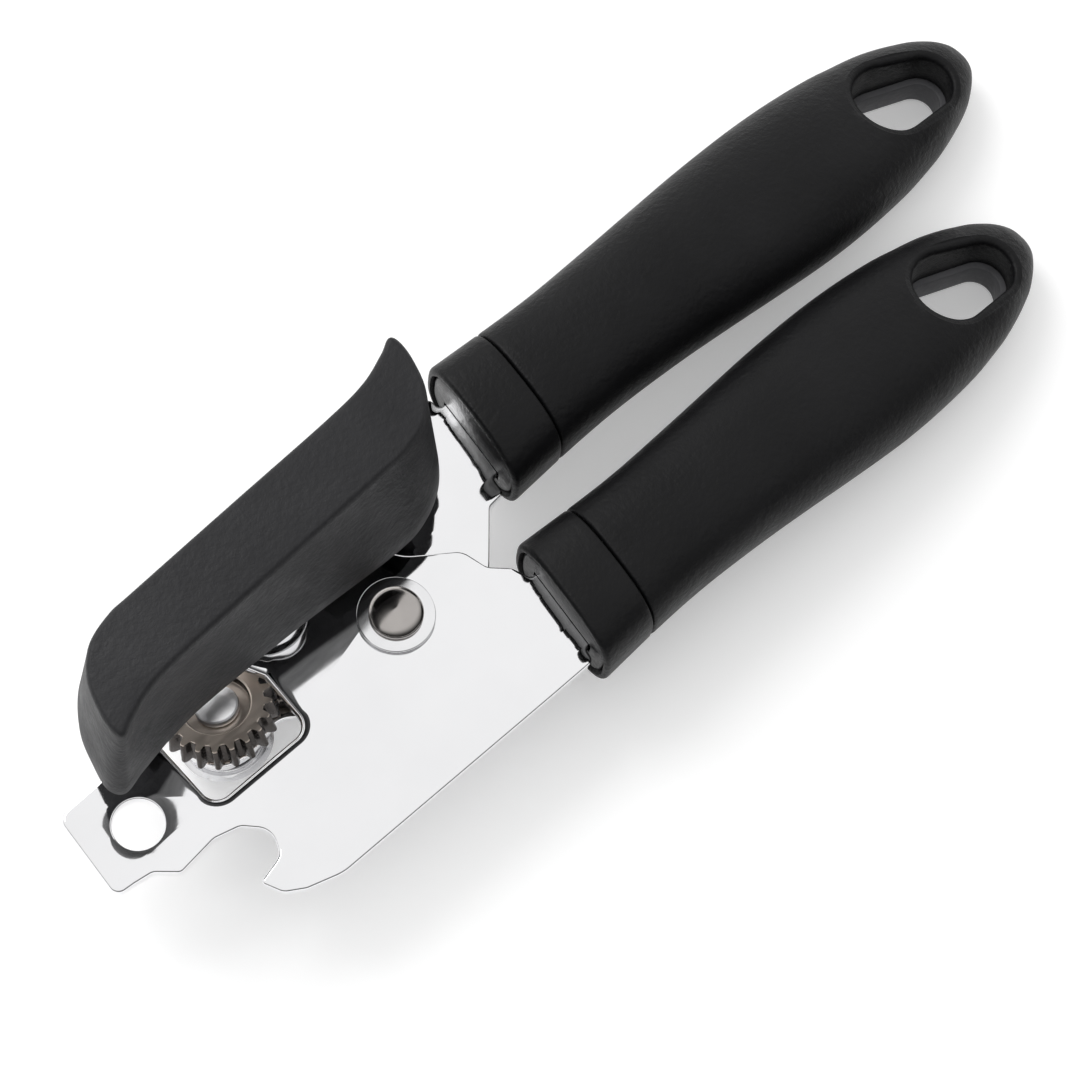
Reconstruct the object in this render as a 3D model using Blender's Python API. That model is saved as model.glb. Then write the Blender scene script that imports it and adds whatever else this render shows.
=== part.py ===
"""Manual can opener with a large turn knob and a bottle opener hook.

Every length is in millimetres until a mesh is written, where MM turns it into metres.
X runs along the handles, Y across them, Z up through the turn knob.
All positions are first given from the foot of the pivot rivet axis and then shifted
by FRAME_SHIFT, so that the finished part stands on Z = 0, centred under its box.
"""
import math

import bmesh
import bpy
from mathutils import Matrix, Vector
from mathutils.geometry import tessellate_polygon

MM = 0.001
GAP = 0.3                      # clearance between pieces that touch
FRAME_SHIFT = (-44.22, 0.6, 0.0)

# ---- levels above the table ---------------------------------------------------------
FRONT_TOP = 20.5               # top of the front plate
FRONT_T = 2.5
FRONT_BOTTOM = FRONT_TOP - FRONT_T
BACK_T = 2.2
BACK_TOP = FRONT_BOTTOM - GAP
BACK_BOTTOM = BACK_TOP - BACK_T
KNOB_RIM = 28.5
KNOB_TOP = 53.5

# ---- axes ---------------------------------------------------------------------------
DRIVE = (-15.5, 14.4)          # drive shaft axis
KNOB_CENTRE = (-14.8, 15.9)    # middle of the knob's outline
CUTTER_HEAD = (-30.5, 9.3, 15.4)   # middle of the cutter gear's outer face
CUTTER_LEAN = math.radians(14.0)
CUTTER_BEARING = math.radians(80.0)

# ---- gears --------------------------------------------------------------------------
CUTTER_TEETH = 20
DRIVE_TEETH = 16
CUTTER_PITCH_R = 8.70          # at the outer face
CUTTER_TIP_R = 9.24
CUTTER_ROOT_R = 7.86
CUTTER_GEAR_T = 4.6
CUTTER_FLARE = 0.066           # growth of the gear from outer to inner face
GEAR_PHASE = math.radians(13.25)   # turn that puts a gap of the cutter gear at a drive tooth
DRIVE_PITCH_R = 7.19
DRIVE_TIP_R = 7.80
DRIVE_ROOT_R = 6.30
DRIVE_GEAR_Z = (10.5, 14.2)
DRIVE_SKEW = -0.030            # turn of the drive teeth per millimetre of height
TOOTH_FILL = 0.42              # tooth thickness as a share of the pitch

# ---- cutter stack, measured down the leaning axis from the gear's outer face ---------
COUNTERBORE_R = 5.45
COUNTERBORE_DEPTH = 1.8
PIN_HEAD_R = 3.7
PIN_R = 2.0
HUB_R = 3.4
HUB_END = 13.4
PAD_DEPTH = 4.9                # top of the back plate on the cutter axis
BUSHING_R = 6.0
BUSHING_SPAN = (7.7, 11.1)
WHEEL_SPAN = (11.4, 13.0)
WHEEL_FACE_R = 7.15
WHEEL_R = 7.9
WHEEL_BACK_R = 6.8
PIN_FOOT_SPAN = (13.7, 14.8)

# ---- drive stack --------------------------------------------------------------------
SHAFT_R = 3.0
BORE_R = SHAFT_R + GAP
FEED_WHEEL_Z = (3.2, 6.0)
FEED_WHEEL_R = 8.3
FEED_NOTCHES = 36
SPACER_R = 4.6
NUT_H = 2.1
NUT_FLATS = 9.0
BUSH_R = 6.7
BUSH_TOP = 28.1
BUSH_SEAT = 22.5

# ---- pivot --------------------------------------------------------------------------
RIVET_R = 3.0
DOME_R = 4.5
DOME_H = 2.6
WASHER_R = 6.45
WASHER_T = 0.7

# ---- front plate --------------------------------------------------------------------
EDGE_R = 0.5
WINDOW = (-43.4, -21.6, -5.4, 16.6)  # x0, x1, y0, y1 at the outer edge of the rolled rim
WINDOW_ROLL = 0.9
TAB_HOLE = (-53.6, 0.85)
TAB_HOLE_R = 4.2

# ---- handles ------------------------------------------------------------------------
UPPER_Y = 15.8
LOWER_Y = -17.0
UPPER_MOUTH_X = 30.8
LOWER_MOUTH_X = 20.8
UPPER_LENGTH = 121.2
LOWER_LENGTH = 113.2
FERRULE_L = 10.6
MOUTH_SLANT = 0.12
TANG_W = 15.0
TANG_L = 52.0
POCKET_DEPTH = 4.2
CENTRE_Z = ((0.0, 18.9), (0.12, 18.9), (0.3, 18.0), (0.45, 15.9), (0.6, 12.9), (0.72, 10.8),
            (0.82, 8.9), (0.9, 7.6), (0.96, 6.6), (1.0, 6.0))
TAIL_SETTLE = 0.28             # depth by which the hang hole's rim lies above the lowest line
HALF_WIDTH = ((0.0, 12.75), (0.12, 12.05), (0.2, 11.95), (0.3, 12.45), (0.4, 13.2), (0.5, 14.0),
              (0.6, 14.5), (0.68, 14.35), (0.76, 13.65), (0.8, 12.95), (0.86, 11.5), (0.93, 8.6),
              (0.96, 6.5), (0.985, 4.0), (0.995, 2.3), (1.0, 0.8))
HALF_HEIGHT = ((0.0, 9.3), (0.2, 9.1), (0.4, 9.8), (0.6, 10.3), (0.72, 10.1), (0.82, 9.3),
               (0.9, 8.0), (0.96, 5.9), (0.985, 3.6), (1.0, 0.8))
HOLE_NEAR = (21.3, 6.15)        # distance from the tail, radius
HOLE_FAR = (12.9, 4.4)
HOLE_DRIFT = -1.4              # sideways step of the hole's narrow end
LINER_TOP = 6.2
LINER_WALL = 1.3
LINER_BORE = -0.5              # growth of the liner's inside from the hole's middle line
HOLE_MOUTH = 0.6               # growth of the grip's own hole above the liner

# ---- knob outline, one half of a shape that repeats after half a turn -----------------
KNOB_TOP_HALF = ((-19.6, -7.3), (0.0, -6.4), (20.3, -5.4), (26.0, -5.0), (31.3, -3.1), (35.0, 1.0),
                 (36.9, 6.2), (37.3, 10.0), (36.3, 11.4), (33.6, 10.1), (28.0, 8.2))
KNOB_RIM_HALF = ((-19.2, -9.2), (0.0, -9.3), (19.2, -10.1), (26.6, -9.2), (32.7, -5.9), (37.2, -0.2),
                 (39.2, 5.4), (40.0, 9.8), (38.3, 12.1), (34.0, 11.2), (27.6, 10.0))
KNOB_STEPS = 4
POCKET_SPAN = (8.6, 29.4)      # reach of each hollow from the middle of the knob
POCKET_WALL = 2.2
POCKET_ROOF = 48.0
INSERT_R = 4.7
INSERT_Z = (29.0, 48.6)


# ======================================================================================
# shape helpers
# ======================================================================================
class Solid:
    """Vertices and faces of one closed body, joined loop by loop."""

    def __init__(self):
        self.verts = []
        self.faces = []

    def loop(self, points):
        start = len(self.verts)
        self.verts.extend(Vector(p) for p in points)
        return list(range(start, start + len(points)))

    def bridge(self, a, b):
        n = len(a)
        for i in range(n):
            j = (i + 1) % n
            self.faces.append((a[i], a[j], b[j], b[i]))

    def stack(self, loops):
        for a, b in zip(loops, loops[1:]):
            self.bridge(a, b)

    def fan(self, loop, point):
        tip = len(self.verts)
        self.verts.append(Vector(point))
        n = len(loop)
        for i in range(n):
            self.faces.append((loop[i], loop[(i + 1) % n], tip))

    def cap(self, loops):
        flat = [i for loop in loops for i in loop]
        rings = [[self.verts[i] for i in loop] for loop in loops]
        for tri in tessellate_polygon(rings):
            self.faces.append(tuple(flat[k] for k in tri))


def at_z(loop, z):
    return [(p[0], p[1], z) for p in loop]


def circle(r, n, cx=0.0, cy=0.0, phase=0.0):
    step = 2.0 * math.pi / n
    return [(cx + r * math.cos(phase + i * step), cy + r * math.sin(phase + i * step)) for i in range(n)]


def fillet_polygon(corners, arc_steps=5):
    """Closed counterclockwise loop from (x, y, radius) corners."""
    out = []
    n = len(corners)
    for i in range(n):
        p = Vector(corners[i][:2])
        a = Vector(corners[i - 1][:2]) - p
        b = Vector(corners[(i + 1) % n][:2]) - p
        r = corners[i][2]
        half = a.angle(b) / 2.0
        if r < 0.05 or half > math.radians(88.0):
            out.append((p.x, p.y))
            continue
        reach = min(r / math.tan(half), 0.49 * a.length, 0.49 * b.length)
        r = reach * math.tan(half)
        a.normalize()
        b.normalize()
        centre = p + (a + b).normalized() * (r / math.sin(half))
        start = p + a * reach - centre
        end = p + b * reach - centre
        sweep = start.angle_signed(end)
        for k in range(arc_steps + 1):
            t = -sweep * k / arc_steps
            c, s = math.cos(t), math.sin(t)
            out.append((centre.x + c * start.x - s * start.y, centre.y + s * start.x + c * start.y))
    return out


def offset_loop(loop, d):
    """Move a counterclockwise loop inward by d (outward when d is negative)."""
    out = []
    n = len(loop)
    for i in range(n):
        p = Vector(loop[i])
        a = (p - Vector(loop[i - 1])).normalized()
        b = (Vector(loop[(i + 1) % n]) - p).normalized()
        na = Vector((-a.y, a.x))
        nb = Vector((-b.y, b.x))
        mid = (na + nb).normalized()
        reach = d / max(mid.dot(na), 0.5)
        out.append((p.x + mid.x * reach, p.y + mid.y * reach))
    return out


def spline_loop(points, steps):
    """Closed Catmull-Rom curve through the points."""
    out = []
    n = len(points)
    for i in range(n):
        p0, p1, p2, p3 = (Vector(points[(i + k) % n]) for k in (-1, 0, 1, 2))
        for k in range(steps):
            t = k / steps
            q = 0.5 * (2.0 * p1 + (p2 - p0) * t + (2.0 * p0 - 5.0 * p1 + 4.0 * p2 - p3) * t * t
                       + (3.0 * p1 - p0 - 3.0 * p2 + p3) * t ** 3)
            out.append((q.x, q.y))
    return out


def curve_at(table, t):
    """Smooth value of a (t, value) table, monotone between its rows."""
    if t <= table[0][0]:
        return table[0][1]
    for k in range(len(table) - 1):
        t0, v0 = table[k]
        t1, v1 = table[k + 1]
        if t <= t1:
            before = table[k - 1] if k > 0 else table[k]
            after = table[k + 2] if k + 2 < len(table) else table[k + 1]
            m0 = (v1 - before[1]) / max(t1 - before[0], 1e-6)
            m1 = (after[1] - v0) / max(after[0] - t0, 1e-6)
            h = t1 - t0
            u = (t - t0) / h
            return ((2 * u ** 3 - 3 * u * u + 1) * v0 + (u ** 3 - 2 * u * u + u) * h * m0
                    + (3 * u * u - 2 * u ** 3) * v1 + (u ** 3 - u * u) * h * m1)
    return table[-1][1]


def make_material(name, color, roughness, metallic):
    mat = bpy.data.materials.new(name)
    mat.use_nodes = True
    shader = mat.node_tree.nodes["Principled BSDF"]
    shader.inputs["Base Color"].default_value = (*color, 1.0)
    shader.inputs["Roughness"].default_value = roughness
    shader.inputs["Metallic"].default_value = metallic
    mat.diffuse_color = (*color, 1.0)
    mat.roughness = roughness
    mat.metallic = metallic
    return mat


def finish(name, solid, material, origin=(0.0, 0.0, 0.0), sharp=32.0, bend=None, cuts=()):
    """Write the solid as an object whose origin is the given point."""
    bm = bmesh.new()
    for v in solid.verts:
        bm.verts.new(v)
    bm.verts.ensure_lookup_table()
    for f in solid.faces:
        bm.faces.new([bm.verts[i] for i in f])
    for x in cuts:
        geom = bm.verts[:] + bm.edges[:] + bm.faces[:]
        bmesh.ops.bisect_plane(bm, geom=geom, plane_co=(x, 0.0, 0.0), plane_no=(1.0, 0.0, 0.0), dist=1e-4)
    if bend is not None:
        bmesh.ops.triangulate(bm, faces=bm.faces[:])
        for v in bm.verts:
            v.co = bend(v.co)
    shift = Vector(origin)
    for v in bm.verts:
        v.co = (v.co - shift) * MM
    bmesh.ops.recalc_face_normals(bm, faces=bm.faces[:])
    if bm.calc_volume(signed=True) < 0.0:
        bmesh.ops.reverse_faces(bm, faces=bm.faces[:])
    mesh = bpy.data.meshes.new(name)
    bm.to_mesh(mesh)
    bm.free()
    obj = bpy.data.objects.new(name, mesh)
    bpy.context.collection.objects.link(obj)
    obj.location = (shift + Vector(FRAME_SHIFT)) * MM
    mesh.materials.append(material)
    mesh.shade_smooth()
    mesh.set_sharp_from_angle(angle=math.radians(sharp))
    return obj


def cut_away(obj, cutters, sharp=32.0):
    """Subtract the cutters from the object and drop them."""
    for cutter in cutters:
        cutter.hide_render = True
        cutter.display_type = "WIRE"
        mod = obj.modifiers.new(cutter.name, "BOOLEAN")
        mod.operation = "DIFFERENCE"
        mod.solver = "EXACT"
        mod.object = cutter
    bpy.context.view_layer.update()
    graph = bpy.context.evaluated_depsgraph_get()
    mesh = bpy.data.meshes.new_from_object(obj.evaluated_get(graph))
    obj.modifiers.clear()
    obj.data = mesh
    for cutter in cutters:
        bpy.data.objects.remove(cutter)
    mesh.shade_smooth()
    mesh.set_sharp_from_angle(angle=math.radians(sharp))


def slab(outline, holes, z0, z1, edge, hole_edges, steps=2):
    """Plate with rounded edges; each hole has (top roll, bottom roll)."""
    solid = Solid()

    def rings(loop, top, bottom, side):
        rows = []
        for k in range(steps):
            a = 0.5 * math.pi * k / steps
            rows.append((bottom * (1.0 - math.sin(a)), z0 + bottom * (1.0 - math.cos(a))))
        rows.append((0.0, z0 + bottom))
        rows.append((0.0, z1 - top))
        for k in range(1, steps + 1):
            a = 0.5 * math.pi * k / steps
            rows.append((top * (1.0 - math.cos(a)), z1 - top + top * math.sin(a)))
        return [solid.loop(at_z(offset_loop(loop, side * d), z)) for d, z in rows]

    stacks = [rings(outline, edge, edge, 1.0)]
    for hole, (top, bottom) in zip(holes, hole_edges):
        stacks.append(rings(hole, top, bottom, -1.0))
    for stack in stacks:
        solid.stack(stack)
    solid.cap([stack[0] for stack in stacks])
    solid.cap([stack[-1] for stack in stacks])
    return solid


def lathe(profile, n=40):
    """Turn a closed (radius, z) profile about Z; radius 0 rows become poles."""
    solid = Solid()
    rows = []
    for r, z in profile:
        if r < 1e-6:
            rows.append(("pole", (0.0, 0.0, z)))
        else:
            rows.append(("ring", solid.loop(at_z(circle(r, n), z))))
    poles = {}
    for k in range(len(rows)):
        a, b = rows[k], rows[(k + 1) % len(rows)]
        if a[0] == "ring" and b[0] == "ring":
            solid.bridge(a[1], b[1])
        elif a[0] == "ring":
            solid.fan(a[1], b[1])
        elif b[0] == "ring":
            solid.fan(b[1], a[1])
    return solid


def moved(solid, matrix):
    solid.verts = [matrix @ v for v in solid.verts]
    return solid


def cutter_frame():
    """Matrix taking Z of the cutter stack onto the leaning axis."""
    lean = Matrix.Rotation(CUTTER_LEAN, 4, Vector((-math.sin(CUTTER_BEARING), math.cos(CUTTER_BEARING), 0.0)))
    return Matrix.Translation(Vector(CUTTER_HEAD)) @ lean


def tooth_loop(teeth, root, pitch, tip, phase=0.0):
    """Outline of a gear with slightly rounded trapezoid teeth."""
    out = []
    step = 2.0 * math.pi / teeth
    half = 0.5 * TOOTH_FILL * step
    tip_half = half - (tip - pitch) * math.tan(math.radians(24.0)) / pitch
    root_half = half + (pitch - root) * math.tan(math.radians(14.0)) / pitch
    for k in range(teeth):
        mid = phase + k * step
        rows = ((-root_half, root), (-half, pitch), (-tip_half, tip), (tip_half, tip),
                (half, pitch), (root_half, root))
        out.extend((r * math.cos(mid + a), r * math.sin(mid + a)) for a, r in rows)
    return out


# ======================================================================================
# plates
# ======================================================================================
def front_outline():
    y = LOWER_Y
    x = LOWER_MOUTH_X
    tang = TANG_W / 2.0
    return fillet_polygon((
        (-34.6, -26.5, 9.0), (10.0, -26.8, 4.0), (x - 1.8, -26.8, 1.2), (x - 1.4, y - tang, 0.8),
        (x + TANG_L - 4.0, y - tang, 2.0), (x + TANG_L, y - 4.0, 1.5), (x + TANG_L, y + 4.0, 1.5),
        (x + TANG_L - 4.0, y + tang, 2.0), (x + 0.3, y + tang, 0.8), (x - 1.0, -6.2, 1.0),
        (16.9, -3.4, 2.5), (15.7, 1.3, 3.5), (8.2, 6.7, 8.0), (3.6, 13.0, 8.0), (-2.0, 25.5, 7.0),
        (-24.0, 25.5, 9.0), (-46.0, 14.0, 6.0), (-53.2, 10.3, 3.0), (-62.3, 10.1, 2.2),
        (-63.7, -5.8, 2.4), (-60.2, -6.1, 1.5), (-56.9, -6.6, 2.0),
        (-53.6, -9.6, 1.4), (-46.2, -8.8, 3.0), (-41.8, -10.0, 2.6), (-38.4, -13.6, 3.2),
        (-40.2, -17.6, 2.4), (-45.5, -18.9, 0.7), (-43.8, -22.6, 2.6), (-40.6, -24.6, 2.4)), 4)


def window_outline():
    x0, x1, y0, y1 = WINDOW
    return fillet_polygon(((x0, y0, 3.6), (x1 - 0.6, y0, 3.6), (x1, y1 - 10.0, 2.0), (x1 - 5.0, y1, 3.0),
                           (x0, y1, 5.0)), 6)


def front_plate(steel):
    outline = front_outline()
    window = offset_loop(window_outline(), WINDOW_ROLL)
    holes = [window, circle(TAB_HOLE_R, 32, *TAB_HOLE), circle(RIVET_R + GAP, 24), circle(5.3, 28, *DRIVE)]
    edges = [(WINDOW_ROLL, 0.3), (0.3, 0.3), (0.1, 0.1), (0.1, 0.1)]
    solid = slab(outline, holes, FRONT_BOTTOM, FRONT_TOP, EDGE_R, edges)
    finish("front_plate", solid, steel)


def pad_height(x, y):
    """Height of the leaning pad's top face under the cutter gear."""
    axis = cutter_frame().to_3x3() @ Vector((0.0, 0.0, 1.0))
    seat = cutter_frame() @ Vector((0.0, 0.0, -PAD_DEPTH))
    return seat.z - (axis.x * (x - seat.x) + axis.y * (y - seat.y)) / axis.z


def back_bend(co):
    """Carry the arm of the back plate down onto the leaning pad."""
    t = min(max((-8.6 - co.x) / 9.6, 0.0), 1.0)
    t = t * t * (3.0 - 2.0 * t)
    drop = (pad_height(co.x, co.y) - BACK_TOP) * t
    return Vector((co.x, co.y, co.z + drop))


def back_outline():
    y = UPPER_Y
    x = UPPER_MOUTH_X
    tang = TANG_W / 2.0
    return fillet_polygon((
        (-31.4, -0.4, 6.0), (-24.0, 1.4, 4.0), (-17.5, -3.5, 5.0), (-8.0, -7.6, 5.0), (0.0, -9.6, 8.0),
        (9.0, -8.6, 8.0), (17.2, -3.9, 3.0), (25.2, 4.8, 1.5), (x - 2.2, 5.1, 1.0),
        (x - 1.7, y - tang, 0.8), (x + TANG_L - 4.0, y - tang, 2.0), (x + TANG_L, y - 4.0, 1.5),
        (x + TANG_L, y + 4.0, 1.5), (x + TANG_L - 4.0, y + tang, 2.0), (x, y + tang, 0.8),
        (x - 0.2, y + tang + 2.6, 1.2), (20.0, 26.6, 8.0), (9.0, 20.0, 8.0), (4.0, 12.0, 8.0), (-6.0, 6.2, 5.0),
        (-17.5, 4.4, 4.0), (-24.2, 9.4, 3.0), (-25.6, 14.6, 5.0), (-34.0, 16.4, 7.0), (-39.6, 8.0, 7.0),
        (-36.6, 0.6, 5.0)), 3)


def back_plate(steel):
    seat = cutter_frame() @ Vector((0.0, 0.0, -PAD_DEPTH - 1.1))
    holes = [circle(RIVET_R + GAP, 24), circle(HUB_R + 0.75, 28, seat.x, seat.y)]
    solid = slab(back_outline(), holes, BACK_BOTTOM, BACK_TOP, 0.4, [(0.1, 0.1), (0.1, 0.1)], 1)
    cuts = [-8.6 - 9.6 * k / 8.0 for k in range(9)]
    finish("back_plate", solid, steel, bend=back_bend, cuts=cuts)


# ======================================================================================
# pivot
# ======================================================================================
def pivot_rivet(steel):
    top = FRONT_TOP + GAP + WASHER_T + GAP
    foot = BACK_BOTTOM - GAP - WASHER_T - GAP
    rows = [(0.0, foot - 1.6), (3.2, foot - 1.6), (4.4, foot - 0.9), (4.4, foot), (RIVET_R, foot), (RIVET_R, top)]
    rows += [(DOME_R, top), (DOME_R, top + 0.5)]
    for k in range(1, 6):
        a = 0.5 * math.pi * k / 6.0
        rows.append((DOME_R * math.cos(a), top + 0.5 + (DOME_H - 0.5) * math.sin(a)))
    rows.append((0.0, top + DOME_H))
    finish("pivot_rivet", lathe(rows, 36), steel)


def pivot_washer(name, z, steel):
    r0 = RIVET_R + GAP
    rows = ((r0, z), (WASHER_R - 0.15, z), (WASHER_R, z + 0.15), (WASHER_R, z + WASHER_T - 0.2),
            (WASHER_R - 0.2, z + WASHER_T), (r0, z + WASHER_T))
    finish(name, lathe(rows, 44), steel)


# ======================================================================================
# knob and drive
# ======================================================================================
def knob_loop(half):
    pts = list(half) + [(-x, -y) for x, y in half]
    return [(x + KNOB_CENTRE[0], y + KNOB_CENTRE[1]) for x, y in spline_loop(pts, KNOB_STEPS)]


def pocket_point(p, turn, z):
    cx, cy = KNOB_CENTRE
    return (cx + turn * (p[0] - cx), cy + turn * (p[1] - cy), z)


def turn_knob(plastic):
    solid = Solid()
    rim = knob_loop(KNOB_RIM_HALF)
    top = knob_loop(KNOB_TOP_HALF)

    def blend(t):
        return [(a[0] + (b[0] - a[0]) * t, a[1] + (b[1] - a[1]) * t) for a, b in zip(rim, top)]

    crown = 1.3
    rings = [solid.loop(at_z(offset_loop(rim, 0.4), KNOB_RIM)), solid.loop(at_z(rim, KNOB_RIM + 0.5))]
    rings += [solid.loop(at_z(blend(0.5), 0.5 * (KNOB_RIM + KNOB_TOP)))]
    rings += [solid.loop(at_z(top, KNOB_TOP - crown))]
    rings += [solid.loop(at_z(offset_loop(top, 0.3), KNOB_TOP - 0.45))]
    rings += [solid.loop(at_z(offset_loop(top, 0.95), KNOB_TOP))]
    solid.stack(rings)
    solid.cap([rings[-1]])
    rise = (POCKET_ROOF - KNOB_RIM) / (KNOB_TOP - KNOB_RIM)
    mouth = offset_loop(rim, POCKET_WALL)
    roof = offset_loop(blend(rise), POCKET_WALL)
    inside = [k for k, p in enumerate(rim) if POCKET_SPAN[0] < p[0] - KNOB_CENTRE[0] < POCKET_SPAN[1]]
    bore = circle(INSERT_R + GAP, 36, *DRIVE)
    low_bore = solid.loop(at_z(bore, KNOB_RIM))
    high_bore = solid.loop(at_z(bore, INSERT_Z[1] + GAP))
    solid.bridge(low_bore, high_bore)
    solid.cap([high_bore])
    openings = [low_bore]
    for turn in (1.0, -1.0):
        lower = solid.loop([pocket_point(mouth[k], turn, KNOB_RIM) for k in inside])
        upper = solid.loop([pocket_point(roof[k], turn, POCKET_ROOF) for k in inside])
        solid.bridge(lower, upper)
        solid.cap([upper])
        openings.append(lower)
    solid.cap([rings[0]] + openings)
    finish("turn_knob", solid, plastic, origin=(*DRIVE, 0.0), sharp=38.0)


def on_drive(solid):
    return moved(solid, Matrix.Translation(Vector((*DRIVE, 0.0))))


def knob_insert(steel):
    z0, z1 = INSERT_Z
    rows = ((BORE_R, z0), (INSERT_R - 0.3, z0), (INSERT_R, z0 + 0.3), (INSERT_R, z1), (BORE_R, z1))
    finish("knob_insert", on_drive(lathe(rows, 36)), steel, origin=(*DRIVE, 0.0))


def drive_shaft(steel):
    rows = ((0.0, 0.3), (2.1, 0.3), (2.4, 0.6), (2.4, NUT_H + 0.8), (SHAFT_R, NUT_H + 0.8),
            (SHAFT_R, INSERT_Z[1] - 0.4), (SHAFT_R - 0.3, INSERT_Z[1] - 0.1), (0.0, INSERT_Z[1] - 0.1))
    finish("drive_shaft", on_drive(lathe(rows, 28)), steel, origin=(*DRIVE, 0.0))


def drive_bush(steel):
    low = FRONT_BOTTOM - GAP
    rows = ((BORE_R, low - 0.6), (6.2, low - 0.6), (6.2, low), (5.0, low), (5.0, BUSH_SEAT),
            (BUSH_R - 0.15, BUSH_SEAT), (BUSH_R, BUSH_SEAT + 0.15), (BUSH_R, BUSH_TOP - 0.3),
            (BUSH_R - 0.3, BUSH_TOP), (BORE_R, BUSH_TOP))
    finish("drive_bush", on_drive(lathe(rows, 40)), steel)


def drive_gear(steel):
    z0, z1 = DRIVE_GEAR_Z
    loops = []
    solid = Solid()
    layers = 3
    reach = math.atan2(CUTTER_HEAD[1] - DRIVE[1], CUTTER_HEAD[0] - DRIVE[0])
    for k in range(layers + 1):
        z = z0 + (z1 - z0) * k / layers
        turn = DRIVE_SKEW * (z - 0.5 * (z0 + z1))
        outline = tooth_loop(DRIVE_TEETH, DRIVE_ROOT_R, DRIVE_PITCH_R, DRIVE_TIP_R, reach + turn)
        loops.append(solid.loop(at_z(outline, z)))
    solid.stack(loops)
    top = FRONT_BOTTOM - 1.5
    bore_low = solid.loop(at_z(circle(BORE_R, 28), z0))
    bore_high = solid.loop(at_z(circle(BORE_R, 28), top))
    hub_low = solid.loop(at_z(circle(SPACER_R, 28), z1))
    hub_high = solid.loop(at_z(circle(SPACER_R, 28), top))
    solid.bridge(bore_low, bore_high)
    solid.bridge(hub_low, hub_high)
    solid.cap([loops[0], bore_low])
    solid.cap([loops[-1], hub_low])
    solid.cap([hub_high, bore_high])
    finish("drive_gear", on_drive(solid), steel, origin=(*DRIVE, 0.0))


def drive_spacer(steel):
    z0 = FEED_WHEEL_Z[1] + GAP
    z1 = DRIVE_GEAR_Z[0] - GAP
    rows = ((BORE_R, z0), (SPACER_R, z0), (SPACER_R, z1), (BORE_R, z1))
    finish("drive_spacer", on_drive(lathe(rows, 32)), steel, origin=(*DRIVE, 0.0))


def feed_wheel(steel):
    z0, z1 = FEED_WHEEL_Z
    solid = Solid()

    def serrated(r):
        out = []
        step = 2.0 * math.pi / FEED_NOTCHES
        for k in range(FEED_NOTCHES):
            for share, radius in ((0.0, r), (0.35, r), (0.68, r - 0.65)):
                a = (k + share) * step
                out.append((radius * math.cos(a), radius * math.sin(a)))
        return out

    rings = [solid.loop(at_z(serrated(r), z)) for r, z in (
        (FEED_WHEEL_R - 0.5, z0), (FEED_WHEEL_R, z0 + 0.4), (FEED_WHEEL_R, z1 - 0.4), (FEED_WHEEL_R - 0.5, z1))]
    solid.stack(rings)
    low = solid.loop(at_z(circle(BORE_R, 28), z0))
    high = solid.loop(at_z(circle(BORE_R, 28), z1))
    solid.bridge(low, high)
    solid.cap([rings[0], low])
    solid.cap([rings[-1], high])
    finish("feed_wheel", on_drive(solid), steel, origin=(*DRIVE, 0.0))


def drive_washer(steel):
    z0 = NUT_H + GAP
    z1 = FEED_WHEEL_Z[0] - GAP
    rows = ((2.7, z0), (5.6, z0), (5.6, z1), (2.7, z1))
    finish("drive_washer", on_drive(lathe(rows, 36)), steel, origin=(*DRIVE, 0.0))


def drive_nut(steel):
    solid = Solid()
    corner = 0.5 * NUT_FLATS / math.cos(math.pi / 6.0)
    rings = [solid.loop(at_z(circle(r, 6), z)) for r, z in (
        (corner - 0.5, 0.0), (corner, 0.3), (corner, NUT_H))]
    solid.stack(rings)
    low = solid.loop(at_z(circle(2.7, 24), 0.0))
    high = solid.loop(at_z(circle(2.7, 24), NUT_H))
    solid.bridge(low, high)
    solid.cap([rings[0], low])
    solid.cap([rings[-1], high])
    finish("drive_nut", on_drive(solid), steel, origin=(*DRIVE, 0.0), sharp=20.0)


# ======================================================================================
# cutter
# ======================================================================================
def cutter_gear(bronze):
    solid = Solid()
    base = tooth_loop(CUTTER_TEETH, CUTTER_ROOT_R, CUTTER_PITCH_R, CUTTER_TIP_R, GEAR_PHASE)
    count = len(base)

    def scaled(s, inset=0.0):
        return [(x * s * (1.0 - inset), y * s * (1.0 - inset)) for x, y in base]

    hub = circle(HUB_R, count, phase=math.atan2(base[0][1], base[0][0]))
    rings = [solid.loop(at_z(hub, -HUB_END)), solid.loop(at_z(hub, -CUTTER_GEAR_T)),
             solid.loop(at_z(scaled(1.0 + CUTTER_FLARE), -CUTTER_GEAR_T)),
             solid.loop(at_z(scaled(1.0 + CUTTER_FLARE * 0.06), -0.25)),
             solid.loop(at_z(scaled(1.0, 0.018), 0.0))]
    solid.stack(rings)
    n = 40
    bore = [solid.loop(at_z(circle(r, n), z)) for r, z in (
        (PIN_R + GAP, -HUB_END), (PIN_R + GAP, -COUNTERBORE_DEPTH), (COUNTERBORE_R, -COUNTERBORE_DEPTH),
        (COUNTERBORE_R, -0.5), (COUNTERBORE_R + 0.45, 0.0))]
    solid.stack(bore)
    solid.cap([rings[0], bore[0]])
    solid.cap([rings[-1], bore[-1]])
    finish("cutter_gear", moved(solid, cutter_frame()), bronze, origin=CUTTER_HEAD)


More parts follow.
